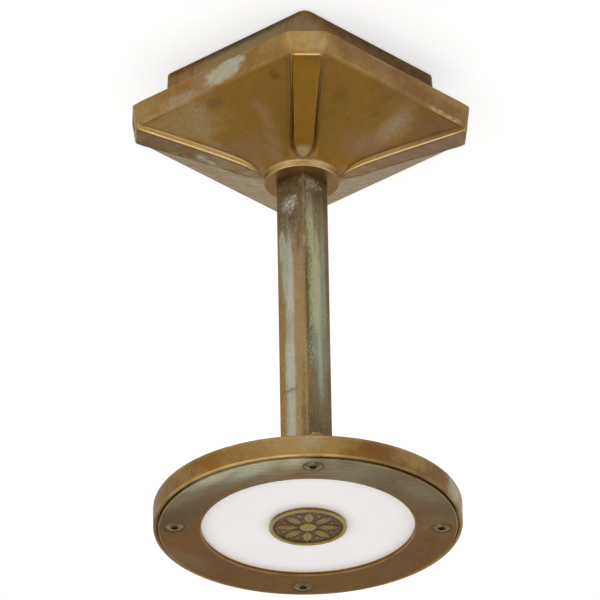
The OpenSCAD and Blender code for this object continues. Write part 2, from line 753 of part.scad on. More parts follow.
module top_washer() {
    color([0.7, 0.7, 0.72]) translate([0, 0, z_collar_in])
        tube(washer_r, nipple_r + hole_gap, top_washer_t);
}

module top_nipple() {
    color([0.7, 0.58, 0.3]) nipple(z_collar_low - nipple_in_plug, z_collar_in + top_nipple_up);
}

module top_plug() {
    color([0.7, 0.58, 0.3]) plug(z_collar_low - plug_l, 1);
}

module top_seal() {
    color([0.1, 0.1, 0.1]) seal_ring(z_collar_low - seal_wire_r * 0.9);
}

module stem_tube() {
    color([0.55, 0.5, 0.36]) difference() {
        translate([0, 0, z_pan_top]) round_square(stem_w, stem_corner_r, stem_drop);
        translate([0, 0, z_pan_top - over]) round_square(bore_w, bore_corner_r, stem_drop + 2 * over);
    }
}

module bottom_plug() {
    color([0.7, 0.58, 0.3]) plug(z_pan_top, -1);
}

z_bottom_nut_low = z_roof_low - bottom_washer_t - bottom_nut_h;

module bottom_nipple() {
    color([0.7, 0.58, 0.3]) nipple(z_bottom_nut_low, z_pan_top + nipple_in_plug);
}

module bottom_seal() {
    color([0.1, 0.1, 0.1]) seal_ring(z_pan_top + seal_wire_r * 0.9);
}

module bottom_washer() {
    color([0.7, 0.7, 0.72]) translate([0, 0, z_roof_low - bottom_washer_t])
        tube(washer_r, nipple_r + hole_gap, bottom_washer_t);
}

module bottom_nut() {
    color([0.7, 0.58, 0.3]) translate([0, 0, z_bottom_nut_low])
        hex_nut(nut_across, bottom_nut_h, nipple_r + thread_gap);
}

// Sheathed lead: from the driver's end round the box, down through the nipples into the head
stem_lead_z = wire_z - 3;
stem_lead_end = z_roof_low + 0.5;

module stem_lead() {
    side_x = boss_xy + 1.5;
    color([0.9, 0.9, 0.88]) lead([[driver_end, driver_y, stem_lead_z], [side_x, driver_y, stem_lead_z],
        [side_x, 0, stem_lead_z], [0, 0, stem_lead_z], [0, 0, stem_lead_end]], 5, lead_d / 2);
}

// Head
module pan_section() {
    edge = 1.2;
    polygon([[0, z_pan_top], [pan_r - edge, z_pan_top], [pan_r, z_pan_top - edge], [pan_r, z_rim_low],
        [rim_in_r, z_rim_low], [rim_in_r, z_bezel_seat], [rim_in_r - seat_w, z_bezel_seat],
        [rim_in_r - seat_w, z_roof_low], [inner_wall_out, z_roof_low], [inner_wall_out, z_seal_top],
        [inner_wall_in, z_seal_top], [inner_wall_in, z_roof_low], [0, z_roof_low]]);
}

module pan() {
    color([0.6, 0.47, 0.26]) difference() {
        union() {
            rotate_extrude($fn = 128) pan_section();
            at_corners(screw_r) translate([0, 0, z_bezel_seat])
                cylinder(r = pan_boss_r, h = z_roof_low - z_bezel_seat + pan_roof_t / 2);
        }
        translate([0, 0, z_roof_low - over]) cylinder(r = nipple_r + hole_gap, h = pan_roof_t + 2 * over);
        at_corners(screw_r) translate([0, 0, z_bezel_seat - over])
            cylinder(r = bezel_shank_r + thread_gap, h = screw_l + over);
        for (a = [0, 120, 240]) rotate(a) translate([board_screw_r, 0, z_roof_low - over])
            cylinder(r = m3_r + thread_gap, h = over + board_thread_l + 0.2);
    }
}

module ring_plate(z, r_out, r_in, t) {
    translate([0, 0, z]) tube(r_out, r_in, t);
}

module heat_pad() {
    color([0.55, 0.6, 0.7]) difference() {
        ring_plate(z_board_top, board_r - 1, board_window_r + 1, heat_pad_t);
        for (a = [0, 120, 240]) rotate(a) translate([board_screw_r, 0, z_board_top - over])
            cylinder(r = m3_r + hole_gap, h = heat_pad_t + 2 * over);
    }
}

module led_board() {
    color([0.94, 0.95, 0.94]) difference() {
        ring_plate(z_board_low, board_r, board_window_r, board_t);
        for (a = [0, 120, 240]) rotate(a) translate([board_screw_r, 0, z_board_low - over])
            cylinder(r = m3_r + hole_gap, h = board_t + 2 * over);
    }
}

module led_ring(n, r, start) {
    led = 3.5;
    led_h = 0.7;
    for (i = [0 : n - 1]) rotate(start + i * 360 / n) translate([r, 0, z_board_low - led_h])
        translate([-led / 2, -led / 2, 0]) cube([led, led, led_h]);
}

module leds() {
    color([0.95, 0.85, 0.35]) {
        led_ring(leds_in, led_r_in, 180 / leds_in);
        led_ring(leds_out, led_r_out, 180 / leds_out);
    }
}

module board_screws() {
    color([0.7, 0.7, 0.72]) for (a = [0, 120, 240])
        rotate(a) translate([board_screw_r, 0, z_board_low])
            cheese_screw(m3_r, m3_head_r, 1.5, board_t + heat_pad_t + board_thread_l);
}

connector_w = 7;
connector_l = 6;
fine_r = fine_wire_d / 2;
fine_gap = 1.6;                             // half the distance between the two fine leads
fine_z = z_bottom_nut_low - fine_r - 0.35;
connector_h = z_board_low - fine_z + fine_r + 0.25;
at_connector = 45;                          // direction of the connector, between LEDs and screws

module board_connector() {
    color([0.96, 0.95, 0.9]) rotate(at_connector) difference() {
        translate([connector_at - connector_l, -connector_w / 2, z_board_low - connector_h])
            cube([connector_l, connector_w, connector_h]);
        for (s = [-1, 1]) translate([connector_at - connector_l - over, s * fine_gap, fine_z])
            rotate([0, 90, 0]) cylinder(r = fine_r + thread_gap, h = 3 + over, $fn = 24);
    }
}

module fine_lead(y) {
    end_x = connector_at - connector_l + 2.5;
    rotate(at_connector) lead([[0, y, stem_lead_end], [0, y, fine_z], [end_x, y, fine_z]], 1, fine_r);
}

module board_leads() {
    color([0.8, 0.15, 0.1]) fine_lead(fine_gap);
    color([0.1, 0.1, 0.1]) fine_lead(-fine_gap);
}

module opal_seal() {
    over_wall = 0.6;                        // the ring is a little wider than the wall it lies on
    color([0.92, 0.92, 0.9])
        ring_plate(z_opal_top, inner_wall_out + over_wall, inner_wall_in - over_wall, opal_seal_t);
}

module opal_disc() {
    color([0.92, 0.9, 0.9]) translate([0, 0, z_bezel_seat]) cylinder(r = opal_r, h = opal_t, $fn = 128);
}

module bezel_ring() {
    edge = 0.3;
    color([0.5, 0.46, 0.36]) difference() {
        rotate_extrude($fn = 128) polygon([[window_r, z_bezel_seat], [bezel_r, z_bezel_seat],
            [bezel_r, z_bezel_low + edge], [bezel_r - edge, z_bezel_low],
            [window_r + edge, z_bezel_low], [window_r, z_bezel_low + edge]]);
        at_corners(screw_r) {
            translate([0, 0, z_bezel_low - over])
                cylinder(r = bezel_shank_r + hole_gap, h = bezel_t + 2 * over);
            translate([0, 0, z_bezel_low - over])
                cylinder(r1 = sink_r + over, r2 = sink_r - (bezel_t - 0.1), h = bezel_t - 0.1 + over);
        }
    }
}

// Raised countersunk screw with a six-lobe socket round a pin, its head's edge at z = 0
module bezel_screw() {
    cone_h = bezel_t - head_sink - 0.1;
    ball_r = (pow(bezel_head_r, 2) + pow(head_dome, 2)) / (2 * head_dome);
    lobe_r = 0.5;
    lobe_at = 1.2;
    difference() {
        union() {
            cylinder(r1 = bezel_head_r, r2 = bezel_head_r - cone_h, h = cone_h);
            cylinder(r = bezel_shank_r, h = screw_l - 1.5);
            intersection() {
                translate([0, 0, ball_r - head_dome]) sphere(r = ball_r, $fn = 96);
                translate([0, 0, -2]) cylinder(r = bezel_head_r, h = 2);
            }
        }
        difference() {
            translate([0, 0, -2]) {
                cylinder(r = lobe_at, h = 3);
                for (a = [0 : 60 : 300])
                    rotate(a) translate([lobe_at, 0, 0]) cylinder(r = lobe_r, h = 3, $fn = 24);
            }
            translate([0, 0, -head_dome + 0.25]) cylinder(r = 0.45, h = 3, $fn = 24);
        }
    }
}

module bezel_screws() {
    color([0.42, 0.36, 0.27]) at_corners(screw_r) translate([0, 0, z_head]) bezel_screw();
}

module medallion_pad() {
    color([0.3, 0.3, 0.3]) translate([0, 0, z_bezel_seat - pad_t])
        cylinder(d = medallion_d - 4, h = pad_t);
}

// Medallion: a raised rim, a sunk field and a rosette of pointed petals round a button
module medallion() {
    r = medallion_d / 2;
    rim_w = 2.4;
    field = 0.9;
    petal_in = r * 0.26;
    petal_out = r * 0.8;
    petal_h = 0.65;
    petal_l = petal_out - petal_in;
    petal_w = 360 / petals * 0.105 * r / 20;
    arc_r = (pow(petal_l / 2, 2) + pow(petal_w / 2, 2)) / petal_w;
    z_back = z_bezel_seat - pad_t;
    z_field = z_back - medallion_t + field;
    color([0.55, 0.47, 0.24]) {
        rotate_extrude($fn = 96) polygon([[0, z_back], [r - 0.4, z_back], [r, z_back - 0.4],
            [r, z_back - medallion_t + 0.5], [r - 0.5, z_back - medallion_t],
            [r - rim_w + 0.6, z_back - medallion_t], [r - rim_w, z_field], [0, z_field]]);
        for (i = [0 : petals - 1]) rotate(i * 360 / petals)
            translate([(petal_in + petal_out) / 2, 0, z_field - petal_h]) intersection() {
                translate([0, arc_r - petal_w / 2, 0]) cylinder(r = arc_r, h = petal_h + 0.3);
                translate([0, petal_w / 2 - arc_r, 0]) cylinder(r = arc_r, h = petal_h + 0.3);
            }
        translate([0, 0, z_field - petal_h])
            cylinder(r1 = petal_in - 1.6, r2 = petal_in - 0.8, h = petal_h + 0.3);
    }
}

ceiling_foam();
ceiling_box();
cable_grommet();
terminal_block();
terminal_screws();
driver();
driver_screws();
earth_tag();
earth_screw();
supply_leads();
earth_lead();
mounting_plate();
plate_screws();
plate_edging();
canopy();
canopy_screws();
top_nut();
top_washer();
top_nipple();
top_plug();
top_seal();
stem_tube();
bottom_plug();
bottom_nipple();
bottom_seal();
bottom_washer();
bottom_nut();
stem_lead();
pan();
heat_pad();
led_board();
leds();
board_screws();
board_connector();
board_leads();
opal_seal();
opal_disc();
bezel_ring();
bezel_screws();
medallion_pad();
medallion();
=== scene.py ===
"""Outdoor ceiling light in aged brass: fine meshes and finishes round its CAD frame, a stage and a camera.

Metres throughout. The ceiling is z = 0 and the light hangs down from it on the Z axis. The canopy's sides are
square to X and Y, so its ribs, the stem's edges and the head's screws lie on the diagonals.
"""

import math
from collections import namedtuple

import bmesh
import bpy
from bpy.props import FloatProperty, FloatVectorProperty, IntProperty, PointerProperty
from mathutils import Matrix, Vector, noise
from mathutils.kdtree import KDTree


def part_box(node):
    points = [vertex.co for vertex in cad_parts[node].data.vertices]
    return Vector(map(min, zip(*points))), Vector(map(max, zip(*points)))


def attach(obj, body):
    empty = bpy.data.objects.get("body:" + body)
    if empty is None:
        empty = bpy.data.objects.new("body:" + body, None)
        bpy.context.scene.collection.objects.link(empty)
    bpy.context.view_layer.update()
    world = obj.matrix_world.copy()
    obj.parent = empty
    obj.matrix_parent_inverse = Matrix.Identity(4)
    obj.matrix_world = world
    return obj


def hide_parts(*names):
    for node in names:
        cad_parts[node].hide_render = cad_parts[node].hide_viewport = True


bl_info = {
    "name": "Ceiling light in aged brass",
    "version": (1, 0, 0),
    "blender": (4, 5, 0),
    "location": "View3D > Sidebar > Ceiling light",
    "description": "Fine meshes, aged finishes, stage and camera for an outdoor ceiling light",
    "category": "Object",
}

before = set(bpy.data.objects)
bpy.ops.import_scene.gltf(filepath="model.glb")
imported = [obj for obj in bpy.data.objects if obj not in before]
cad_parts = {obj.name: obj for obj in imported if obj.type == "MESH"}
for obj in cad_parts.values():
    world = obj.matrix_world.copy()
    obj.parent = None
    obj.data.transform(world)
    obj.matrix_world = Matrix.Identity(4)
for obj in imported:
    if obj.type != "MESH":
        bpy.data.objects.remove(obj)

MM = 0.001
ROOT2 = math.sqrt(2)
# A rounded edge takes at most this share of a face. Beside it the face gets points at these distances, so that the
# marks along an edge end near it, within this share.
CURVE_SHARE, GUARD_SHARE = 0.36, 0.48
GUARDS = (0.5 * MM, 1.3 * MM, 3 * MM)
ON_AXIS = 0.0001 * MM
EDGE_POINTS = 0.5 * MM
CREASE = math.radians(32)
BODY = "root"


def extent(node, axis):
    """Lowest and highest place of a CAD node along an axis."""
    low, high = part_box(node)
    return low[axis], high[axis]


def width_of(node):
    low, high = extent(node, 0)
    return high - low


def linear(hex_colour):
    """An sRGB hex colour as linear red, green and blue."""
    values = [int(hex_colour[i:i + 2], 16) / 255 for i in (1, 3, 5)]
    return tuple(v / 12.92 if v <= 0.04045 else ((v + 0.055) / 1.055) ** 2.4 for v in values)


def length(name, description, value):
    return FloatProperty(name=name, description=description, default=value, precision=5, unit="LENGTH")


def colour(name, description, hex_colour):
    return FloatVectorProperty(name=name, description=description, default=linear(hex_colour),
                               min=0.0, max=1.0, subtype="COLOR")


# Sizes and colours that a user would change

class CanopySizes(bpy.types.PropertyGroup):
    """Shape of the cast canopy"""
    top_width: length("Top width", "Width across the canopy's top edge", width_of("canopy"))
    low_width: length("Lower width", "Width of the fascia across its lower edge", 135.4 * MM)
    cut_top: length("Top of the cut corner", "Width of a cut corner at the top edge", 19.6 * MM)
    cut_low: length("Foot of the cut corner", "Width of a cut corner at its lower edge", 16.7 * MM)
    fascia_height: length("Fascia height", "Height of the fascia at the cut corners", 13.5 * MM)
    flare_drop: length("Flare drop", "Drop of the panels from the fascia to the collar", 27 * MM)
    collar_width: length("Collar diameter", "Outer diameter of the collar", 40 * MM)
    collar_height: length("Collar height", "Height of the collar's upright wall", 3.5 * MM)
    collar_end: length("Collar end", "Thickness of the collar's closed end", 4 * MM)
    wall: length("Wall", "Wall of the casting", 2.2 * MM)
    rib_step: length("Rib height", "Height of the corner ribs over the panels", 2 * MM)
    rib_waist: length("Rib waist", "Width of a rib where it starts to close to its tip", 12.4 * MM)
    rib_waist_at: length("Place of the waist", "Distance from the axis to the rib's waist", 40 * MM)
    rib_side: length("Rib side", "Width of a rib's sloped side", 1.2 * MM)
    edge_round: length("Edge round", "How far the ribs' edges are worn round", 0.4 * MM)
    foot_round: length("Foot round", "Fillet at the ribs' feet", 0.5 * MM)
    rim_round: length("Rim round", "How far the top edge is worn round", 0.7 * MM)
    cut_rim_round: length("Rim round at the cuts", "How far it is worn round over the cut corners", 1.8 * MM)
    fold_round: length("Fold round", "How far the fascia's lower edge is worn round", 2.0 * MM)
    cut_fold_round: length("Fold round at the cuts", "How far it is worn round under the cut corners", 0.45 * MM)
    corner_round: length("Corner round", "How far the fascia's upright edges are worn round at the top", 0.8 * MM)
    low_corner_round: length("Low corner round", "How far they are worn round at their lower ends", 2.0 * MM)
    bore: length("Bore", "Bore of the collar's end for the threaded nipple", 10.4 * MM)


class StemSizes(bpy.types.PropertyGroup):
    """Shape of the square stem"""
    width: length("Width", "Width of the square tube", width_of("stem_tube"))
    wall: length("Wall", "Wall of the square tube", 1.5 * MM)
    corner: length("Corner radius", "Radius of the tube's long edges", 2.1 * MM)


class HeadSizes(bpy.types.PropertyGroup):
    """Shape of the round head"""
    pan_width: length("Pan diameter", "Outer diameter of the pan", width_of("pan"))
    pan_edge: length("Pan edge", "Round of the pan's upper edge", 1.5 * MM)
    roof: length("Roof", "Thickness of the pan's roof", 2.5 * MM)
    rim: length("Rim", "Thickness of the pan's rim", 1.7 * MM)
    groove: length("Groove", "Groove between the rim and the bezel", 0.9 * MM)
    seat: length("Seat", "Width of the pan's seat under the bezel", 2.8 * MM)
    bezel_width: length("Bezel width", "Width of the bezel from its edge to the window", 22.1 * MM)
    bezel_edge: length("Bezel edge", "Round of the bezel's edges", 0.35 * MM)
    screw_inset: length("Screw inset", "From the bezel's edge to its screws' centres", 8.4 * MM)
    screw_head: length("Screw head", "Head diameter of the bezel screws", 10.6 * MM)
    opal_lap: length("Opal lap", "Width that the opal disc lies on the bezel", 8.2 * MM)
    petals: IntProperty(name="Petals", description="Petals of the medallion's rosette", default=8, min=5, max=12)


class BrassColours(bpy.types.PropertyGroup):
    """Colours of the aged brass and of what has grown on it"""
    # Bare brass serves for worn edges and also for painted highlights on parts that face the front
    bare: colour("Bare brass", "Brass rubbed bare along the edges", "#D2AE70")
    # Bright brass makes only painted highlights, on edges that face the front
    bright: colour("Bright brass", "Brass freshly rubbed along the sharpest edges", "#ECC680")
    tan: colour("Washed brass", "Brass that rain has kept pale", "#937344")
    honey: colour("Honey brown", "Sheltered brass with a deep golden cast", "#876325")
    golden: colour("Golden brown", "Lightly browned brass", "#84602C")
    brown: colour("Brown", "Browned brass", "#634724")
    olive: colour("Olive brown", "Browned brass with a green cast", "#745718")
    # Dark brown is also used as painted shade: beside the hip ribs, round the screw heads and under the ceiling
    dark: colour("Dark brown", "Oldest brown, in corners and low places", "#3A2912")
    # Deep brown is painted shade in the lines beside the near rib
    deep: colour("Deep brown", "Dark golden brown beside the near rib", "#46300A")
    plum: colour("Purple brown", "Copper-red tarnish", "#573A2C")
    # Deep gold is the near rib's colour made lighter, partly painted light
    rib_gold_lit: colour("Deep gold", "Sheltered brass of a deep gold", "#DCA63C")
    umber: colour("Umber", "Browned brass with a grey cast", "#5F4B35")
    copper: colour("Copper brown", "Orange brown of old brass", "#6E4A22")
    khaki: colour("Khaki", "Thin green film over brown", "#A38C58")
    moss: colour("Moss grey", "Thicker dull green film", "#817C5C")
    blush: colour("Pale blush", "Pale pinkish bloom", "#A08C6E")
    brass_green: colour("Green brass", "Olive gold of toned brass", "#92813D")
    grey: colour("Grey bloom", "Dull grey film that the weather leaves", "#7D745A")
    verdigris: colour("Pale verdigris", "Pale grey-green copper salts", "#BDBDA2")
    sea_green: colour("Blue verdigris", "Blue-green copper salts", "#8DA899")
    lichen: colour("Yellow verdigris", "Pale yellow-green copper salts", "#BFC294")
    salt: colour("White salts", "Nearly white salts", "#CFCBB8")
    dusky: colour("Pink film", "Thin pinkish film of dezincified brass", "#886C58")
    glance: colour("Glancing light", "Warm cast that the brass gives to light at a low angle", "#F2EADC")


class LightColours(bpy.types.PropertyGroup):
    """Colours of the pieces that aren't brass"""
    opal: colour("Opal", "Satin opal glass", "#F0ECEB")
    rubber: colour("Rubber", "Black rubber", "#1C1B1A")
    foam: colour("Foam", "Closed-cell foam", "#2B2A28")
    porcelain: colour("Porcelain", "Glazed porcelain", "#EFEDE6")
    case: colour("Driver case", "White moulded plastic", "#E4E4E0")


class StageSettings(bpy.types.PropertyGroup):
    """Ceiling, floor, lamps and camera"""
    ceiling_side: length("Ceiling side", "Side of the square of ceiling", 2.4)
    floor_side: length("Floor side", "Side of the square floor", 9.0)
    floor_level: length("Floor level", "Level of the floor", -2.6)
    key_power: FloatProperty(name="Key lamp", description="Power of the lamp at the front left",
                             default=7.6, min=0.0, unit="POWER")
    fill_power: FloatProperty(name="Fill lamp", description="Power of the lamp at the right",
                              default=2.4, min=0.0, unit="POWER")
    sky: FloatProperty(name="Sky", description="Strength of the plain light from all round", default=0.6, min=0.0)
    azimuth: FloatProperty(name="Azimuth", description="Camera's bearing from the front",
                           default=math.radians(42.4), unit="ROTATION")
    climb: FloatProperty(name="Climb", description="How steeply the camera looks up",
                         default=math.radians(28.245), unit="ROTATION")
    roll: FloatProperty(name="Roll", description="Camera's roll", default=math.radians(1.033), unit="ROTATION")
    distance: length("Distance", "From the camera to the point it looks at", 4.575)
    aim: FloatVectorProperty(name="Aim", description="Point that the camera looks at", size=3, precision=5,
                             default=(-2.738 * MM, -0.033 * MM, -134.391 * MM), subtype="TRANSLATION")
    focal: FloatProperty(name="Focal length", description="Focal length in millimetres", default=524.16, min=1.0)


# Paths and meshes

def mix(a, b, t):
    return a + (b - a) * t


def rounded(path, rounds, steps=4, closed=False, guards=()):
    """The path with each corner cut back by its distance and turned in a curve of steps parts, and with points of
    its own at the guards' distances from the curve's ends."""
    out = []
    for i, (corner, back) in enumerate(zip(path, rounds)):
        if not back or (not closed and i in (0, len(path) - 1)):
            out.append(corner)
            continue
        legs = [path[i - 1] - corner, path[(i + 1) % len(path)] - corner]
        beside = []
        for leg in legs:
            start = min(back, leg.length * CURVE_SHARE)
            room = leg.length * GUARD_SHARE - start
            stops = [start] + [start + min(g, room * (k + 1) / len(guards)) for k, g in enumerate(guards)]
            beside.append([corner + leg.normalized() * stop for stop in stops])
        (a, *before), (b, *after) = beside
        out += before[::-1]
        for j in range(steps + 1):
            t = j / steps
            out.append(a * (1 - t) ** 2 + corner * (2 * t * (1 - t)) + b * t ** 2)
        out += after
    return out


def stacked(rows, closed=True):
    """A mesh of closed rows of points joined in order. A row of one point closes an end."""
    bm = bmesh.new()
    rings = [[bm.verts.new(p) for p in row] for row in rows]
    pairs = list(zip(rings, rings[1:]))
    if closed:
        pairs.append((rings[-1], rings[0]))
    for low, high in pairs:
        n = max(len(low), len(high))
        for i in range(n):
            j = (i + 1) % n
            loop = [low[i % len(low)], low[j % len(low)], high[j % len(high)], high[i % len(high)]]
            bm.faces.new(list(dict.fromkeys(loop)))
    bmesh.ops.recalc_face_normals(bm, faces=bm.faces)
    return bm


def lathed(profile, rounds=None, segments=192, closed=True, steps=4):
    """A body of revolution from a profile of (radius, level) points."""
    path = [Vector((r, 0, z)) for r, z in profile]
    path = rounded(path, rounds or [0] * len(path), steps, closed, GUARDS)
    turns = [Matrix.Rotation(math.tau * i / segments, 3, "Z") for i in range(segments)]
    rows = [[p] if p.x < ON_AXIS else [turn @ p for turn in turns] for p in path]
    return stacked(rows, closed)


def rod(radius_low, radius_high, low, high, segments=48):
    """A closed rod or cone between two levels, to cut with or to join."""
    return lathed([(0, low), (radius_low, low), (radius_high, high), (0, high)], segments=segments, closed=False)


def copies(shape, places):
    """One mesh with a copy of the shape at each place."""
    mesh = bpy.data.meshes.new("copy")
    shape.to_mesh(mesh)
    shape.free()
    out = bmesh.new()
    for place in places:
        known = len(out.verts)
        out.from_mesh(mesh)
        out.verts.ensure_lookup_table()
        bmesh.ops.transform(out, matrix=place, verts=out.verts[known:])
    bpy.data.meshes.remove(mesh)
    return out


def carved(shape, tool, operation="DIFFERENCE"):
    """The shape with the tool cut out of it, or joined to it."""
    pair = []
    for name, bm in (("shape", shape), ("tool", tool)):
        mesh = bpy.data.meshes.new(name)
        bm.to_mesh(mesh)
        bm.free()
        pair.append(bpy.data.objects.new(name, mesh))
        bpy.context.collection.objects.link(pair[-1])
    cut = pair[0].modifiers.new("cut", "BOOLEAN")
    cut.operation, cut.solver, cut.object = operation, "EXACT", pair[1]
    out = bmesh.new()
    out.from_object(pair[0], bpy.context.evaluated_depsgraph_get())
    for obj in pair:
        mesh = obj.data
        bpy.data.objects.remove(obj)
        bpy.data.meshes.remove(mesh)
    return out


def mark_edges(bm, sharp, far=30 * MM):
    """Writes how far each point lies from the nearest outer edge and from the nearest inner corner."""
    for name, sign in (("outer_edge", 1), ("inner_corner", -1)):
        points = []
        for edge in bm.edges:
            if len(edge.link_faces) == 2 and edge.calc_face_angle_signed(0) * sign > sharp:
                n = max(1, round(edge.calc_length() / EDGE_POINTS))
                a, b = edge.verts
                points += [a.co.lerp(b.co, i / n) for i in range(n + 1)]
        tree = KDTree(len(points))
        for i, p in enumerate(points):
            tree.insert(p, i)
        tree.balance()
        layer = bm.verts.layers.float.new(name)
        for v in bm.verts:
            v[layer] = min(far, tree.find(v.co)[2]) if points else far


def piece(name, bm, material, slot, *nodes, sharp=6):
    """Makes a shown piece of the mesh: smooth but for its sharp edges, on the light's body, in its nodes' place.
    Folds over sharp degrees count as edges for wear, dirt, painted highlights and painted shade."""
    mark_edges(bm, math.radians(sharp))
    mesh = bpy.data.meshes.new(name)
    bm.to_mesh(mesh)
    bm.free()
    mesh.shade_smooth()
    mesh.set_sharp_from_angle(angle=CREASE)
    mesh.materials.append(material)
    obj = bpy.data.objects.new(name, mesh)
    bpy.context.collection.objects.link(obj)
    flat = obj.modifiers.new("flat faces stay flat", "WEIGHTED_NORMAL")
    flat.keep_sharp = True
    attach(obj, BODY)
    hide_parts(*nodes)


def dress(node, material):
    """Gives a CAD node its material."""
    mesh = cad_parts[node].data
    mesh.materials.clear()
    mesh.materials.append(material)


# Materials

Finish = namedtuple("Finish", "colour metallic roughness")

CAMERA_FRONT = (0.707, -0.707, 0)
BEHIND = ((-1, 0, 0), (0, 1, 0))
UP, DOWN = (0, 0, 1), (0, 0, -1)


def add(tree, kind, inputs=None, stops=(), **settings):
    """Adds a node with its settings. Its inputs are values or other nodes' sockets, by name or number."""
    node = tree.nodes.new(kind)
    for name, value in settings.items():
        setattr(node, name, value)
    for key, value in (inputs or {}).items():
        if isinstance(value, bpy.types.NodeSocket):
            tree.links.new(value, node.inputs[key])
        else:
            node.inputs[key].default_value = value
    if stops:
        elements = node.color_ramp.elements
        while len(elements) < len(stops):
            elements.new(0.5)
        for element, (place, value) in zip(elements, stops):
            element.position, element.color = place, value
    return node


def rgba(value):
    return (*value, 1.0)


def coat(value, metallic, roughness):
    """A finish of one plain colour."""
    return Finish(rgba(value), metallic, roughness)


def new_material(name):
    """A material with an empty tree, and the places of its surface in the light's own frame."""
    material = bpy.data.materials.new(name)
    material.use_nodes = True
    material.node_tree.nodes.clear()
    return material, material.node_tree, add(material.node_tree, "ShaderNodeTexCoord").outputs["Object"]


def on_ribs(tree, where):
    """1 on the canopy's diagonal ribs and 0 on its panels."""
    place = add(tree, "ShaderNodeSeparateXYZ", {0: where}).outputs
    x, y = (add(tree, "ShaderNodeMath", {0: place[i]}, operation="ABSOLUTE").outputs[0] for i in (0, 1))
    apart = add(tree, "ShaderNodeMath", {0: x, 1: y}, operation="SUBTRACT").outputs[0]
    away = add(tree, "ShaderNodeMath", {0: apart}, operation="ABSOLUTE").outputs[0]
    return add(tree, "ShaderNodeMapRange", {"Value": away, "From Min": 12.5 * MM, "From Max": 9 * MM},
               interpolation_type="SMOOTHSTEP").outputs[0]


def by_height(tree, where, start, end):
    """0 at one level, changing smoothly to 1 at another."""
    level = add(tree, "ShaderNodeSeparateXYZ", {0: where}).outputs[2]
    return add(tree, "ShaderNodeMapRange", {"Value": level, "From Min": start, "From Max": end},
               interpolation_type="SMOOTHSTEP").outputs[0]


def cloud(tree, where, size, seed=0.0, stretch=(1, 1, 1), detail=4.0):
    """Soft noise whose clouds are about that size, 0 to 1."""
    scale = tuple(1 / (size * s) for s in stretch)
    place = add(tree, "ShaderNodeMapping",
                {"Vector": where, "Location": (seed, seed * 0.7, seed * 1.3), "Scale": scale})
    return add(tree, "ShaderNodeTexNoise",
               {"Vector": place.outputs[0], "Scale": 1.0, "Detail": detail, "Roughness": 0.6}).outputs[0]


def haze(tree, where, size, low, high, thin=0.0, thick=1.0, seed=0.0, stretch=(1, 1, 1), detail=4.0):
    """A cloud made clearer: its values from low to high are spread smoothly from thin to thick, and held there."""
    soft = cloud(tree, where, size, seed, stretch, detail)
    return add(tree, "ShaderNodeMapRange",
               {"Value": soft, "From Min": low, "From Max": high, "To Min": thin, "To Max": thick},
               interpolation_type="SMOOTHSTEP").outputs[0]


def spots(tree, where, size, share, seed=0.0, stretch=(1, 1, 1), soft=0.05, detail=4.0):
    """Ragged spots of about that size that cover roughly that share of the surface."""
    level = 0.5 + (0.5 - share) * 0.42
    return haze(tree, where, size, level - soft, level + soft, seed=seed, stretch=stretch, detail=detail)


def broken_edge(tree, away, ripple, ragged, soft):
    """1 where away is under 1 and 0 where it is over, with an edge that a cloud breaks up."""
    shifted = add(tree, "ShaderNodeMath", {0: ripple, 1: ragged * 4, 2: away},
                  operation="MULTIPLY_ADD").outputs[0]
    middle = 1 + ragged * 2
    return add(tree, "ShaderNodeMapRange",
               {"Value": shifted, "From Min": middle + soft, "From Max": middle - soft},
               interpolation_type="SMOOTHSTEP").outputs[0]


def patches(tree, where, places, ragged=0.7, soft=0.4, grain=4 * MM, seed=0.0, stretch=(1, 1, 1)):
    """Ragged patches at known places, each given by its centre and its half sizes in millimetres."""
    nearest = None
    for centre, half in places:
        unit = add(tree, "ShaderNodeMapping",
                   {"Vector": where, "Location": Vector(centre) * MM, "Scale": Vector(half) * MM},
                   vector_type="TEXTURE")
        away = add(tree, "ShaderNodeVectorMath", {0: unit.outputs[0]}, operation="LENGTH").outputs["Value"]
        if nearest:
            away = add(tree, "ShaderNodeMath", {0: nearest, 1: away}, operation="MINIMUM").outputs[0]
        nearest = away
    return broken_edge(tree, nearest, cloud(tree, where, grain, seed, stretch, detail=5.0), ragged, soft)


def stain(tree, where, under, top, amount, places, grain=3 * MM, seed=0.0, soft=0.8, ragged=0.3, stretch=(1, 1, 1),
          cloudy=0.35):
    """Lays a finish over another in soft ragged patches that are a little cloudy inside."""
    found = patches(tree, where, places, ragged, soft, grain, seed, stretch)
    thin = haze(tree, where, grain * 0.5, 0.32, 0.6, 1.0 - cloudy, 1.0, seed + 5, stretch)
    return over(tree, under, top, found, thin, amount)


def streaks(tree, where, angle, width, share, seed):
    """Long soft streaks that run level, at an angle from the X axis."""
    turned = add(tree, "ShaderNodeVectorRotate", {"Vector": where, "Angle": -angle},
                 rotation_type="Z_AXIS").outputs[0]
    return spots(tree, turned, width, share, seed, stretch=(12, 1, 1), soft=0.25, detail=2.0)


def facing(tree, direction, low, high):
    """0 to 1 as a surface turns towards a direction of the light's own frame."""
    normal = add(tree, "ShaderNodeNewGeometry").outputs["Normal"]
    turn = add(tree, "ShaderNodeVectorMath", {0: normal, 1: direction},
               operation="DOT_PRODUCT").outputs["Value"]
    return add(tree, "ShaderNodeMapRange", {"Value": turn, "From Min": low, "From Max": high},
               interpolation_type="SMOOTHSTEP").outputs[0]


def facing_back(tree, low, high):
    """0 to 1 as a surface turns towards either side that is away from the front."""
    one, other = (facing(tree, direction, low, high) for direction in BEHIND)
    return add(tree, "ShaderNodeMath", {0: one, 1: other}, operation="MAXIMUM").outputs[0]


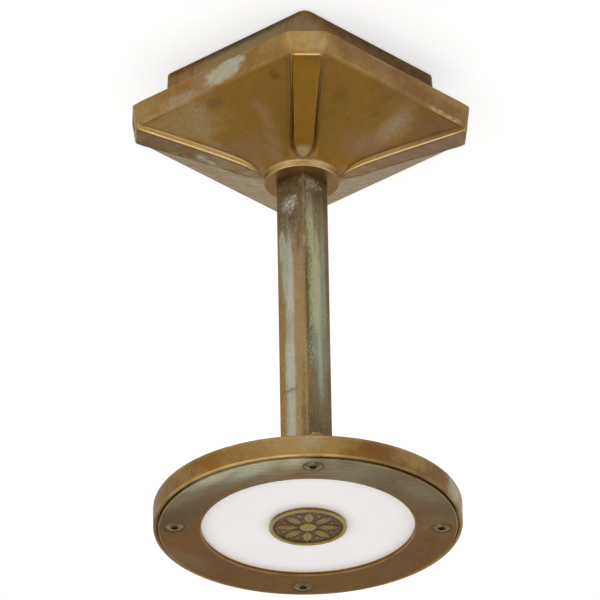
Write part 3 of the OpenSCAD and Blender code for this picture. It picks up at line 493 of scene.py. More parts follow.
def near(tree, where, feature, reach, ragged=0.5, grain=2 * MM, seed=0.0, soft=0.35):
    """1 on an edge or in a corner that mark_edges found, down to 0 at about that reach from it, broken by noise."""
    away = add(tree, "ShaderNodeAttribute", attribute_name=feature).outputs["Fac"]
    away = add(tree, "ShaderNodeMath", {0: away, 1: reach}, operation="DIVIDE").outputs[0]
    return broken_edge(tree, away, cloud(tree, where, grain, seed), ragged, soft)


def at_least(tree, mask, share, least):
    """A mask at a share of its strength, and nowhere under the least."""
    mask = add(tree, "ShaderNodeMath", {0: mask, 1: share}, operation="MULTIPLY").outputs[0]
    return add(tree, "ShaderNodeMath", {0: mask, 1: least}, operation="MAXIMUM").outputs[0]


def over(tree, under, top, *amounts):
    """Lays one finish over another where all the amounts are 1, and in part where their product is less."""
    amount = amounts[0]
    for other in amounts[1:]:
        amount = add(tree, "ShaderNodeMath", {0: amount, 1: other}, operation="MULTIPLY").outputs[0]
    mixed = [add(tree, "ShaderNodeMix", {0: amount, 6: under.colour, 7: top.colour},
                 data_type="RGBA").outputs[2]]
    for a, b in ((under.metallic, top.metallic), (under.roughness, top.roughness)):
        mixed.append(add(tree, "ShaderNodeMix", {0: amount, 2: a, 3: b}, data_type="FLOAT").outputs[0])
    return Finish(*mixed)


def shade(tree, finish, heights=(), **sockets):
    """Ends a material with one shader that wears the finish over bumps, each a value from 0 to 1 and its height.
    Plain values are set on the shader itself."""
    inputs = {"Base Color": finish.colour, "Metallic": finish.metallic, "Roughness": finish.roughness}
    for value, height in heights:
        bump = {"Height": value, "Distance": height, "Strength": 1.0}
        if "Normal" in inputs:
            bump["Normal"] = inputs["Normal"]
        inputs["Normal"] = add(tree, "ShaderNodeBump", bump).outputs[0]
    inputs.update({name.replace("_", " "): value for name, value in sockets.items()})
    shader = add(tree, "ShaderNodeBsdfPrincipled", inputs)
    add(tree, "ShaderNodeOutputMaterial", {"Surface": shader.outputs[0]})


def brown_ground(tree, where, colours, size, seed, stretch=(1, 1, 1)):
    """Browned brass: large drifts of tone with finer clouds in them, which are also a little less glossy."""
    drift = cloud(tree, where, size, seed, stretch, detail=3.0)
    fine = cloud(tree, where, size * 0.12, seed + 3.1, stretch, detail=6.0)
    blend = add(tree, "ShaderNodeMix", {0: 0.35, 2: drift, 3: fine}, data_type="FLOAT").outputs[0]
    # The colours are spread over the noise's usual range
    stops = [(0.36 + 0.28 * i / (len(colours) - 1), rgba(value)) for i, value in enumerate(colours)]
    tone = add(tree, "ShaderNodeValToRGB", {0: blend}, stops=stops).outputs[0]
    dull = add(tree, "ShaderNodeMapRange",
               {"Value": fine, "From Min": 0.35, "From Max": 0.65, "To Min": 0.33, "To Max": 0.47},
               interpolation_type="SMOOTHSTEP").outputs[0]
    return Finish(tone, 0.9, dull)


def worn_brass(tree, where, ground, c, edge=0.4 * MM, corner=1.0 * MM, bare=0.15, dirty=0.35, most=None, seed=0.0):
    """Brass rubbed bare along its outer edges, with a painted highlight of more bare brass where most is 1, and dark
    with dirt in its corners.
    """
    dirt = near(tree, where, "inner_corner", corner, seed=seed + 1, soft=0.8)
    finish = over(tree, ground, coat(c.dark, 0.8, 0.5), dirt, dirty)
    rubbed = near(tree, where, "outer_edge", edge, ragged=0.25, seed=seed + 2)
    patchy = haze(tree, where, 12 * MM, 0.35, 0.6, 0.4, 1.0, seed + 3)
    if most:
        bare = add(tree, "ShaderNodeMix", {0: most, 2: bare, 3: 0.75}, data_type="FLOAT").outputs[0]
    return over(tree, finish, coat(c.bare, 1.0, 0.3), rubbed, patchy, bare)


def dulled_behind(tree, where, under, c, seed):
    """The upright sides away from the front: broad soft drifts of umber and moss grey over the brass."""
    back = facing_back(tree, 0.3, 0.8)
    for tone, step, amount in ((c.umber, 0.0, 0.55), (c.moss, 1.0, 0.35), (c.brown, 2.0, 0.45)):
        drift = spots(tree, where, 22 * MM, 0.4, seed + step, soft=0.25, detail=5.0)
        under = over(tree, under, coat(tone, 0.7, 0.48), drift, back, amount)
    return under


def cast_brass(c):
    # Sand-cast brass, filed smooth and left in the open: brown gold with a soft gloss, deeper gold on the faces that
    # look down and paler on upright ones, partly weathering and partly painted light, green and white salts in
    # patches, bare edges, and painted highlights as bright lines on the edges that face the front
    material, tree, where = new_material("cast_brass_weathered")
    green, pale = coat(c.khaki, 0.5, 0.5), coat(c.verdigris, 0.2, 0.65)
    pink, dark = coat(c.dusky, 0.7, 0.42), coat(c.dark, 0.8, 0.5)
    bare, blush = coat(c.bare, 1.0, 0.3), coat(c.blush, 0.7, 0.4)
    umber, bright = coat(c.umber, 0.8, 0.42), coat(c.bright, 1.0, 0.28)
    # Paler tones on upright faces and deeper gold on downward faces, partly painted light
    upright_tones = brown_ground(tree, where, (c.golden, c.golden, c.tan, c.tan), 30 * MM, 2.0)
    downward_tones = brown_ground(tree, where, (c.olive, c.honey, c.honey, c.honey), 34 * MM, 3.0)
    down = facing(tree, DOWN, 0.4, 0.75)
    ground = over(tree, upright_tones, downward_tones, down)
    # Khaki film in the far corner of the left panel, umber and khaki films on the right panel and its fascia
    ground = stain(tree, where, ground, green, 0.7,
                   (((-42, -56, -41), (30, 15, 9)), ((-66, -69, -30), (30, 5, 8))),
                   grain=5 * MM, seed=7.0, soft=0.6)
    ground = stain(tree, where, ground, umber, 0.45,
                   (((60, 34, -40), (14, 20, 6)), ((69, 30, -31), (6, 40, 8)), ((69, -20, -27), (5, 40, 5)),
                    ((68, 30, -36), (4, 40, 3))),
                   grain=5 * MM, seed=17.0, ragged=0.4)
    ground = stain(tree, where, ground, green, 0.5,
                   (((69, 48, -26), (5, 24, 2.2)), ((50, 20, -44), (14, 7, 6))),
                   grain=4 * MM, seed=17.0, ragged=0.5)
    # Deep gold on the near rib, partly painted light that makes it lighter, purple brown on the left one, copper and
    # umber on the right one, pink spots all over
    ribs = on_ribs(tree, where)
    rib = (ribs, down)
    near_rib_light_and_shade = patches(tree, where, (((41, -41, -50), (38, 38, 22)),), ragged=0.1, seed=12.0)
    ground = over(tree, ground, coat(c.rib_gold_lit, 0.7, 0.4), *rib, near_rib_light_and_shade, 0.56)
    left_rib = (*rib, patches(tree, where, (((-52, -52, -45), (32, 32, 16)),), ragged=0.3, seed=13.0))
    ground = over(tree, ground, coat(c.brown, 0.9, 0.4), *left_rib, 0.95)
    purple = haze(tree, where, 9 * MM, 0.42, 0.6, seed=22.0)
    ground = over(tree, ground, coat(c.plum, 0.9, 0.42), *left_rib, purple, 0.5)
    ground = over(tree, ground, dark, *left_rib, 0.35)
    ground = over(tree, ground, coat(c.copper, 0.9, 0.42), *left_rib, 0.35)
    right_rib = (*rib, patches(tree, where, (((52, 52, -45), (32, 32, 16)),), ragged=0.3, seed=15.0))
    ground = over(tree, ground, coat(c.copper, 0.85, 0.42), *right_rib, 0.8)
    ground = over(tree, ground, umber, *right_rib, 0.5)
    ground = stain(tree, where, ground, pink, 0.5, (((30, 32, -53), (14, 12, 6)),), grain=5 * MM, seed=31.0)
    ground = over(tree, ground, pink, spots(tree, where, 9 * MM, 0.3, 5.0, soft=0.15), 0.1)
    # The near cut corner is lighter gold, painted light. The collar has a bright line in front, a painted highlight,
    # with pale salts above it, pink film to both sides and umber on its end
    ground = stain(tree, where, ground, bare, 0.42, (((62, -62, -30), (12, 12, 7)),), grain=7 * MM, seed=14.0,
                   soft=0.5, ragged=0.2)
    ground = stain(tree, where, ground, bright, 1.0, (((14, -14, -64), (20, 20, 1.9)),), grain=7 * MM,
                   seed=14.0, soft=0.5, ragged=0.2, cloudy=0.1)
    ground = stain(tree, where, ground, pink, 0.45,
                   (((-6, -16, -66), (26, 12, 2.2)), ((16, 6, -66), (12, 26, 2.2))),
                   grain=8 * MM, seed=49.0, soft=0.5, ragged=0.2)
    ground = stain(tree, where, ground, coat(c.salt, 0.6, 0.35), 0.3, (((14, -14, -63.4), (20, 20, 1.3)),),
                   grain=5 * MM, seed=50.0, soft=0.5, ragged=0.2)
    ground = stain(tree, where, ground, umber, 0.2, (((0, 0, -67), (26, 26, 1.4)),), grain=8 * MM, seed=16.0,
                   soft=0.3, ragged=0.15)
    # Pale bloom in a streak beside the near rib and on the cut corner, a pale spot on the rib's tip that is painted
    # light over its shade, and pink film low on both panels and on the left fascia
    ground = stain(tree, where, ground, blush, 0.3,
                   (((15, -46, -46), (3, 7, 5)), ((12.5, -39, -49.5), (3, 7, 5)), ((8.5, -30, -54), (3, 7, 5)),
                    ((4, -22, -58.5), (3, 6, 5)), ((66, -60, -30), (3, 5, 8))),
                   grain=6 * MM, seed=6.0, soft=0.9, ragged=0.15)
    # Painted light on the rib's tip: pale bare brass with a little salt
    for top, amount in ((coat(c.bare, 0.3, 0.45), 0.9), (pale, 0.2)):
        ground = stain(tree, where, ground, top, amount, (((17.5, -17.5, -60), (4.5, 4.5, 4)),), grain=4 * MM,
                       seed=20.0, soft=0.6, ragged=0.15)
    ground = stain(tree, where, ground, pink, 0.4,
                   (((-12, -30, -55), (18, 10, 7)), ((-6, -69, -31), (8, 6, 8)), ((36, 10, -53), (8, 12, 6))),
                   grain=6 * MM, seed=19.0, ragged=0.4)
    # Pale salts on the left fascia, in a thin line on the right panel and as a fine lace over a pale bloom
    ground = stain(tree, where, ground, pale, 0.95,
                   (((8.5, -69, -30), (12, 6, 4.5)), ((14.5, -69, -27), (9, 6, 3))),
                   grain=5 * MM, seed=4.0, soft=0.3, ragged=0.35, cloudy=0.25)
    ground = stain(tree, where, ground, pale, 0.3, (((-24, -69, -33), (10, 6, 3)),), seed=8.0, soft=0.6,
                   ragged=0.6)
    ground = stain(tree, where, ground, pale, 0.07,
                   (((60, 15, -40), (9, 5, 5)), ((51, 16, -43.6), (8, 4, 5)), ((44, 13, -47), (7, 3.5, 5)),
                    ((36, 9, -50.5), (8, 3.5, 5))),
                   seed=33.0, soft=0.9, ragged=0.5)
    laced = patches(tree, where,
                    (((-19, -61, -39), (5, 7, 4)), ((-25, -50, -44), (5, 7, 4)), ((-28, -40, -49), (5, 6, 4)),
                     ((-26, -33, -52.5), (5, 4, 4)), ((50, 17, -44), (12, 5, 6))),
                    ragged=0.4, seed=35.0, soft=0.8)
    ground = over(tree, ground, blush, laced, 0.3)
    lace = spots(tree, where, 1.1 * MM, 0.42, 34.0, soft=0.1)
    ground = over(tree, ground, pale, lace, laced, 0.2)
    # The panels away from the front are browner, with pale streaks that run out along the flare
    back = facing_back(tree, 0.15, 0.35)
    ground = over(tree, ground, coat(c.brown, 0.85, 0.45), back, down, 0.65)
    ground = over(tree, ground, green, back, down, 0.3)
    for direction in BEHIND:
        outwards = math.atan2(direction[1], -direction[0])
        run = streaks(tree, where, outwards, 4 * MM, 0.36, 18.0)
        ground = over(tree, ground, coat(c.salt, 0.4, 0.5), run, facing(tree, direction, 0.15, 0.35), down,
                      0.35)
    # Pink film behind the right rib, two rows of salts beside the left one, and dark spots under the left fascia
    ground = stain(tree, where, ground, pink, 0.5, (((36, 54, -45), (34, 16, 12)),), grain=8 * MM, seed=23.0)
    ground = stain(tree, where, ground, pale, 0.75,
                   (((-55.5, -39.8, -44), (5, 4, 3)), ((-50.5, -35.5, -46.5), (5, 4, 3)),
                    ((-45.5, -31.5, -49), (5, 4, 3)), ((-38, -36, -49.7), (3, 3, 3)),
                    ((-36.5, -30, -51.5), (2.5, 4, 3)), ((-35.8, -25, -53.3), (2.5, 4, 3))),
                   seed=32.0, soft=0.7)
    ground = stain(tree, where, ground, dark, 0.35, (((37, -60, -39), (3, 3, 3)), ((-6, -60, -39), (5, 3, 3))),
                   grain=6 * MM, seed=9.0, soft=0.6)
    # Fine brown mottle and pale flecks all over
    mottle = spots(tree, where, 2.2 * MM, 0.42, 47.0, soft=0.2)
    ground = over(tree, ground, coat(c.brown, 0.9, 0.42), mottle, 0.1)
    ground = dulled_behind(tree, where, ground, c, 48.0)
    flecks = spots(tree, where, 1.6 * MM, 0.14, 9.0, soft=0.04)
    ground = over(tree, ground, pale, flecks, 0.1)
    # The left and right ribs get painted highlights of bare gold on the sides that face the front, and painted shade
    # along their other edges
    below = by_height(tree, where, -37 * MM, -38.5 * MM)
    ground = over(tree, ground, bare, facing(tree, CAMERA_FRONT, 0.45, 0.75), ribs, below, 0.3)
    hip_light_and_shade = patches(tree, where, (((40, 40, -50), (34, 34, 22)), ((-40, -40, -50), (34, 34, 22))), ragged=0.1,
                   seed=10.0, soft=0.2)
    edge = near(tree, where, "outer_edge", 1.1 * MM, ragged=0.1, seed=36.0)
    ground = over(tree, ground, dark, edge, hip_light_and_shade, facing(tree, CAMERA_FRONT, 0.75, 0.45), 0.6)
    # Of all edges the collar's gets the most bare brass, in front, as a painted highlight
    most = patches(tree, where, (((14, -14, -65), (17, 17, 3)),), ragged=0.15, seed=10.0)
    finish = worn_brass(tree, where, ground, c, dirty=0.15, corner=1.3 * MM, bare=0.1, most=most, seed=11.0)
    # The near rib stands between two dark golden-brown lines of painted shade, and the left one's foot has a painted
    # highlight of bare brass
    edge = near(tree, where, "outer_edge", 0.45 * MM, ragged=0.1, seed=45.0)
    foot = near(tree, where, "inner_corner", 1.0 * MM, ragged=0.1, seed=46.0)
    sides = add(tree, "ShaderNodeMath", {0: edge, 1: foot}, operation="MAXIMUM").outputs[0]
    finish = over(tree, finish, coat(c.deep, 0.95, 0.6), sides, ribs, near_rib_light_and_shade, 0.97)
    foot = near(tree, where, "inner_corner", 0.3 * MM, ragged=0.1, seed=37.0)
    left_foot_highlight = patches(tree, where, (((-40, -40, -50), (34, 34, 22)),), ragged=0.1, seed=38.0)
    finish = over(tree, finish, bare, foot, left_foot_highlight, 0.35)
    # Painted highlights: the brightest edges are under the cut corner and along the left and right ribs, on the left
    # one a little less
    under_cut_highlight = patches(tree, where, (((62, -62, -37.4), (7, 7, 1.3)),), ragged=0.05, seed=40.0, soft=0.2)
    hip_light_and_shade = add(tree, "ShaderNodeMath", {0: left_foot_highlight, 1: -0.35, 2: hip_light_and_shade}, operation="MULTIPLY_ADD").outputs[0]
    towards = facing(tree, CAMERA_FRONT, -0.1, 0.25)
    hip_light_and_shade = add(tree, "ShaderNodeMath", {0: hip_light_and_shade, 1: towards}, operation="MULTIPLY").outputs[0]
    edge_highlights = add(tree, "ShaderNodeMath", {0: under_cut_highlight, 1: hip_light_and_shade}, operation="MAXIMUM").outputs[0]
    line = near(tree, where, "outer_edge", 0.22 * MM, ragged=0.08, seed=41.0)
    finish = over(tree, finish, bright, line, edge_highlights, 0.85)
    # The cast grain is about 0.5 mm, which is as fine as shows here
    shade(tree, finish,
          ((cloud(tree, where, 0.5 * MM, 1.0), 0.012 * MM), (flecks, 0.01 * MM),
           (cloud(tree, where, 7 * MM, 3.0), 0.12 * MM)),
          Specular_Tint=rgba(c.glance))
    return material


def drawn_brass(c):
    # Square tube of drawn brass: browned, with long streaks of green and white salts that rain has drawn down it
    material, tree, where = new_material("drawn_brass_streaked")
    pale, salt = coat(c.verdigris, 0.05, 0.65), coat(c.salt, 0.0, 0.75)
    brown, umber = coat(c.brown, 0.85, 0.42), coat(c.umber, 0.75, 0.45)
    dark, grey = coat(c.dark, 0.6, 0.5), coat(c.grey, 0.4, 0.55)
    moss, sea = coat(c.moss, 0.4, 0.55), coat(c.sea_green, 0.15, 0.65)
    down = (1, 1, 9)
    ground = brown_ground(tree, where, (c.umber, c.tan, c.tan, c.grey), 12 * MM, 12.0, down)
    # The faces away from the front: broad pale and dark runs
    back = facing_back(tree, 0.3, 0.7)
    for top, seed, amount in ((umber, 61.0, 0.6), (pale, 62.0, 0.6), (moss, 63.0, 0.5)):
        runs = spots(tree, where, 6 * MM, 0.3, seed, stretch=down, soft=0.2)
        ground = over(tree, ground, top, runs, back, amount)
    ground = stain(tree, where, ground, grey, 0.4,
                   (((0, -10, -124), (14, 4, 60)), ((10, 0, -124), (4, 14, 60))),
                   grain=6 * MM, seed=42.0, ragged=0.2, stretch=(1, 1, 4))
    # The face towards the front left: dark and mottled at the top, a golden strip, a pale green one, then khaki
    ground = stain(tree, where, ground, coat(c.honey, 0.95, 0.38), 0.6, (((-9, -10, -172), (2.6, 4, 84)),),
                   grain=4 * MM, seed=14.0, soft=0.4, ragged=0.2, stretch=down)
    ground = stain(tree, where, ground, coat(c.khaki, 0.6, 0.5), 0.7, (((5.5, -10, -178), (5, 4, 80)),),
                   grain=2.5 * MM, seed=31.0, soft=0.6, ragged=0.4, stretch=(1, 1, 4))
    ground = stain(tree, where, ground, umber, 0.7,
                   (((-2, -10, -80), (13, 4, 23)), ((7, -10, -84), (5, 4, 25))),
                   seed=43.0, soft=0.35, ragged=0.45, stretch=(1, 1, 3))
    ground = stain(tree, where, ground, coat(c.plum, 0.7, 0.45), 0.22, (((0, -10, -70), (13, 4, 14)),),
                   seed=13.0, soft=0.6, ragged=0.4, stretch=(1, 1, 3))
    ground = stain(tree, where, ground, pale, 1.0,
                   (((-1.2, -10, -192), (3.1, 4, 86)), ((-2.8, -10, -122), (3.0, 4, 18)),
                    ((-5.6, -10, -106), (2.2, 4, 9))),
                   seed=15.0, soft=0.3, ragged=0.25, stretch=(1, 1, 4), cloudy=0.3)
    ground = stain(tree, where, ground, sea, 0.35, (((-4, -10, -112), (3.6, 4, 16)),), seed=64.0, ragged=0.4,
                   stretch=(1, 1, 3))
    ground = stain(tree, where, ground, salt, 1.0,
                   (((0, -10, -138), (1.9, 4, 28)), ((-1.1, -10, -178), (2.7, 4, 16)),
                    ((-1.3, -10, -212), (2.6, 4, 18))),
                   seed=26.0, soft=0.7, ragged=0.4, stretch=(1, 1, 4))
    ground = stain(tree, where, ground, coat(c.tan, 0.8, 0.45), 0.45,
                   (((-1.5, -10, -155), (4, 4, 7)), ((-4, -10, -205), (1.5, 4, 14))),
                   seed=65.0, ragged=0.6)
    ground = stain(tree, where, ground, umber, 0.6, (((-1.5, -10, -192), (5, 4, 1.0)),), grain=2 * MM,
                   seed=27.0, soft=0.7, ragged=0.4)
    ground = stain(tree, where, ground, salt, 0.95, (((0.4, -10, -82), (4.5, 4, 4.2)),), seed=16.0, soft=0.6,
                   ragged=0.6, cloudy=0.7)
    # The face towards the front right: mottled and dark at the top and the foot, a yellow-green stripe that turns
    # blue-green and ends in a point, a dark speckled strip on its near side and a brown one on its far side
    ground = stain(tree, where, ground, brown, 0.6, (((10, 8.5, -150), (4, 2.8, 90)),), grain=4 * MM, seed=17.0,
                   soft=0.6, stretch=(1, 1, 3))
    ground = stain(tree, where, ground, umber, 0.6,
                   (((10, 0, -226), (4, 14, 46)), ((10, 0, -80), (4, 14, 24)),
                    ((10.2, -8, -140), (1.4, 2.4, 44))),
                   seed=18.0, soft=0.6, ragged=0.4, stretch=(1, 1, 3))
    ground = stain(tree, where, ground, dark, 0.68,
                   (((10, 0, -232), (4, 14, 46)), ((10.2, -7.8, -140), (1.4, 2, 40)),
                    ((10, 4, -76), (4, 6, 8))),
                   grain=2.5 * MM, seed=29.0, ragged=0.4, stretch=(1, 1, 3))
    ground = stain(tree, where, ground, moss, 0.4,
                   (((10, -4, -92), (4, 7, 18)), ((10, 3, -88), (4, 2, 14)), ((10, 1, -200), (4, 6, 12))),
                   grain=2 * MM, seed=30.0, soft=0.7, ragged=0.7, stretch=(1, 1, 3))
    ground = stain(tree, where, ground, coat(c.lichen, 0.1, 0.7), 1.0,
                   (((10, -2.2, -134), (4, 4.4, 32)), ((10, -5, -102), (4, 3.2, 14))),
                   grain=2.5 * MM, seed=19.0, soft=0.5, ragged=0.4, stretch=(1, 1, 4), cloudy=0.3)
    ground = stain(tree, where, ground, salt, 0.5, (((10, 0, -134), (4, 1.8, 32)),), grain=2.5 * MM, seed=66.0,
                   soft=0.7, stretch=(1, 1, 5))
    ground = stain(tree, where, ground, sea, 0.7,
                   (((10, 4.2, -136), (4, 1.7, 36)), ((10, 0.3, -168), (4, 6.2, 12)),
                    ((10, 1.4, -182), (4, 2.8, 12))),
                   seed=20.0, ragged=0.35, stretch=(1, 1, 4))
    ground = stain(tree, where, ground, umber, 0.4,
                   (((10, -4, -163), (4, 2.4, 6)), ((10, 4.6, -165), (4, 2.2, 7))),
                   grain=2.5 * MM, seed=67.0, ragged=0.5)
    ground = stain(tree, where, ground, pale, 0.7, (((10, 1.0, -172), (4, 1.4, 20)),), grain=2 * MM, seed=28.0,
                   soft=0.6, stretch=(1, 1, 6))
    ground = stain(tree, where, ground, salt, 0.6, (((10, -3, -71), (4, 5, 2.6)),), grain=2 * MM, seed=21.0,
                   soft=0.6, ragged=0.9, cloudy=0.8)
    ground = stain(tree, where, ground, salt, 0.35, (((10, -6, -84), (4, 3, 8)),), grain=2 * MM, seed=44.0,
                   soft=0.7, ragged=0.9, cloudy=0.8)
    # Fine dark and pale specks everywhere, most in the strip beside the near edge
    specks = spots(tree, where, 1.1 * MM, 0.36, 22.0, stretch=(1, 1, 1.5), soft=0.08)
    speckled = patches(tree, where,
                       (((10.2, -7, -160), (1.4, 2.6, 26)), ((10, -3, -72), (4, 7, 7)),
                        ((10.2, -7.4, -118), (1.4, 2.6, 34)), ((-3, -10, -86), (8, 4, 12))),
                       seed=23.0, soft=0.7)
    ground = over(tree, ground, coat(c.dark, 0.3, 0.6), specks, at_least(tree, speckled, 0.85, 0.15))
    pale_specks = spots(tree, where, 1.0 * MM, 0.34, 68.0, stretch=(1, 1, 2), soft=0.08)
    cluster = patches(tree, where, (((10, -6.8, -172), (4, 1.8, 8)),), seed=69.0, soft=0.6)
    ground = over(tree, ground, salt, pale_specks, at_least(tree, cluster, 0.8, 0.1))
    # A lighter line down the tube's edge towards the front: a painted highlight
    near_edge_highlight = patches(tree, where, (((9.6, -9.6, -160), (0.8, 0.8, 95)),), ragged=0.2, seed=24.0, soft=0.5)
    ground = over(tree, ground, coat(c.bare, 0.6, 0.45), near_edge_highlight, 0.15)
    finish = worn_brass(tree, where, ground, c, edge=0.2 * MM, bare=0.06, seed=25.0)
    # Draw lines run along the tube about 0.4 mm apart
    lines = cloud(tree, where, 0.4 * MM, 4.0, stretch=(1, 1, 40), detail=2.0)
    shade(tree, finish,
          ((lines, 0.008 * MM), (cloud(tree, where, 4 * MM, 3.0), 0.05 * MM), (specks, 0.008 * MM)),
          Specular_Tint=rgba(c.glance))
    return material


def braze(c):
    # Drop of brazing brass left on the pan's top edge: pale gold lumps, rougher than the spun pan
    material, tree, where = new_material("brazing_brass_run")
    ground = brown_ground(tree, where, (c.golden, c.tan, c.bare), 2.5 * MM, 91.0)
    finish = worn_brass(tree, where, ground, c, corner=0.6 * MM, seed=92.0)
    shade(tree, finish, ((cloud(tree, where, 0.6 * MM, 5.0), 0.03 * MM),))
    return material


def spun_brass(c):
    # Spun and turned brass pan: golden brown with faint turning rings, a painted highlight on the front of its lower
    # rim, a few green patches
    material, tree, where = new_material("spun_brass_weathered")
    ground = brown_ground(tree, where, (c.golden, c.golden, c.tan, c.tan), 24 * MM, 31.0)
    ground = stain(tree, where, ground, coat(c.brown, 0.85, 0.42), 0.95,
                   (((-54, -60, -262), (44, 34, 12)), ((74, 4, -262), (14, 44, 12))),
                   grain=9 * MM, seed=32.0)
    ground = stain(tree, where, ground, coat(c.copper, 0.9, 0.4), 0.5,
                   (((4, -80, -260), (12, 6, 5)), ((74, -30, -262), (6, 12, 4)),
                    ((-34, -72, -262), (10, 6, 4))),
                   grain=6 * MM, seed=33.0, ragged=0.4)
    ground = stain(tree, where, ground, coat(c.khaki, 0.5, 0.5), 0.55,
                   (((46, -64, -260), (24, 20, 8)), ((80, -6, -260), (6, 12, 5)),
                    ((-74, -30, -262), (6, 10, 6))),
                   grain=5 * MM, seed=37.0, ragged=0.4)
    ground = stain(tree, where, ground, coat(c.verdigris, 0.15, 0.7), 0.9,
                   (((73, 33, -262), (7, 9, 6)), ((64, 47, -264), (5, 7, 4))),
                   grain=4 * MM, seed=34.0, soft=0.6, ragged=0.4)
    ground = stain(tree, where, ground, coat(c.verdigris, 0.15, 0.7), 0.3, (((55, -58, -259), (5, 5, 5)),),
                   grain=5 * MM, seed=39.0, soft=0.9)
    film = haze(tree, where, 16 * MM, 0.38, 0.62, 0.25, 0.8, 40.0)
    ground = over(tree, ground, coat(c.khaki, 0.4, 0.55), facing(tree, UP, 0.7, 0.95), film)
    ground = dulled_behind(tree, where, ground, c, 93.0)
    # The front of the lower rim gets more bare brass, a painted highlight
    front = patches(tree, where, (((38, -70, -268), (56, 30, 5)),), ragged=0.1, seed=38.0, soft=0.6)
    rim = by_height(tree, where, -266 * MM, -267 * MM)
    most = add(tree, "ShaderNodeMath", {0: rim, 1: front}, operation="MULTIPLY").outputs[0]
    finish = worn_brass(tree, where, ground, c, edge=0.5 * MM, most=most, seed=36.0)
    # Turning rings about 0.6 mm apart
    rings = cloud(tree, where, 0.6 * MM, 5.0, stretch=(60, 60, 1), detail=2.0)
    shade(tree, finish, ((rings, 0.012 * MM), (cloud(tree, where, 7 * MM, 3.0), 0.08 * MM)),
          Specular_Tint=rgba(c.glance))
    return material


def turned_bezel_brass(c, screws):
    # Flat turned brass ring: a thin grey-green film over brown, in long soft streaks, edges still golden; the pale
    # film on the near side is partly painted reflection
    material, tree, where = new_material("turned_brass_filmed")
    browns = [[mix(a, b, part) for a, b in zip(c.brown, c.copper)] for part in (0.1, 0.5, 1.0)]
    ground = brown_ground(tree, where, browns, 30 * MM, 41.0)
    # Grey and pale verdigris films towards the front: partly real film, partly painted reflection of the pale ceiling
    ground = stain(tree, where, ground, coat(c.grey, 0.6, 0.4), 0.85,
                   (((20, -68, -269), (40, 14, 6)), ((62, -40, -269), (18, 34, 6))),
                   grain=12 * MM, seed=43.0, cloudy=0.2)
    ground = stain(tree, where, ground, coat(c.umber, 0.8, 0.4), 0.9,
                   (((-32, -62, -269), (24, 16, 6)), ((68, 22, -269), (12, 28, 6))),
                   grain=12 * MM, seed=48.0)
    ground = stain(tree, where, ground, coat(c.dark, 0.8, 0.42), 0.3,
                   (((68, 24, -269), (12, 22, 6)), ((-66, -8, -269), (10, 24, 6))),
                   grain=12 * MM, seed=52.0, soft=0.9)
    ground = stain(tree, where, ground, coat(c.verdigris, 0.4, 0.42), 1.0,
                   (((10, -76, -269), (22, 4.5, 6)), ((32, -69, -269), (18, 6, 6)),
                    ((46, -60, -269), (8, 6, 6))),
                   grain=8 * MM, seed=44.0, ragged=0.25, cloudy=0.2)
    ground = stain(tree, where, ground, coat(c.moss, 0.5, 0.45), 0.6,
                   (((60, -30, -269), (12, 14, 6)), ((-24, -70, -269), (14, 5, 6)),
                    ((70, 8, -269), (6, 14, 6))),
                   grain=7 * MM, seed=49.0, ragged=0.4)
    ground = stain(tree, where, ground, coat(c.copper, 0.9, 0.38), 0.6,
                   (((4, -58, -269), (18, 3.5, 6)), ((57, 10, -269), (3.5, 14, 6)),
                    ((-64, -14, -269), (10, 20, 6)), ((-30, 58, -269), (24, 12, 6))),
                   grain=8 * MM, seed=50.0)
    ground = stain(tree, where, ground, coat(c.dark, 0.6, 0.5), 0.35,
                   (((62, -38, -269), (5, 5, 6)), ((64, -12, -269), (8, 10, 6)),
                    ((-44, -56, -269), (14, 6, 6))),
                   grain=4 * MM, seed=45.0, ragged=0.7)
    ground = stain(tree, where, ground, coat(c.khaki, 0.6, 0.42), 0.45, (((44, -62, -269), (14, 8, 6)),),
                   grain=8 * MM, seed=55.0)
    ground = stain(tree, where, ground, coat(c.grey, 0.6, 0.42), 0.3,
                   (((67, 16, -269), (12, 26, 6)), ((52, 44, -269), (12, 12, 6)),
                    ((-70, -20, -269), (6, 16, 6))),
                   grain=10 * MM, seed=59.0)
    # Wiping marks follow the ring on the near side, pale and dark
    wiped = patches(tree, where, (((48, -56, -269), (26, 22, 6)), ((10, -74, -269), (20, 6, 6))), ragged=0.2,
                    seed=56.0, soft=0.8)
    for tone, seed, share in ((c.salt, 57.0, 0.35), (c.dark, 58.0, 0.3)):
        lines = streaks(tree, where, math.radians(42), 1.4 * MM, 0.3, seed)
        ground = over(tree, ground, coat(tone, 0.5, 0.45), lines, wiped, share)
    ground = over(tree, ground, coat(c.plum, 0.6, 0.5), spots(tree, where, 5 * MM, 0.14, 46.0, soft=0.12), 0.15)
    round_screws = patches(tree, where, [(place, (7.2, 7.2, 6)) for place in screws], ragged=0.1, seed=51.0)
    ground = over(tree, ground, coat(c.dark, 0.6, 0.5), round_screws, 0.25)
    bare = add(tree, "ShaderNodeMath", {0: round_screws, 1: -0.28, 2: 0.28},
               operation="MULTIPLY_ADD").outputs[0]
    finish = worn_brass(tree, where, ground, c, edge=0.35 * MM, corner=0.5 * MM, bare=bare, seed=47.0)
    # Fine turning scratches, drawn 1.2 mm apart
    shade(tree, finish,
          ((cloud(tree, where, 1.2 * MM, 5.0), 0.01 * MM), (cloud(tree, where, 6 * MM, 3.0), 0.04 * MM)),
          Specular_Tint=rgba(c.glance))
    return material


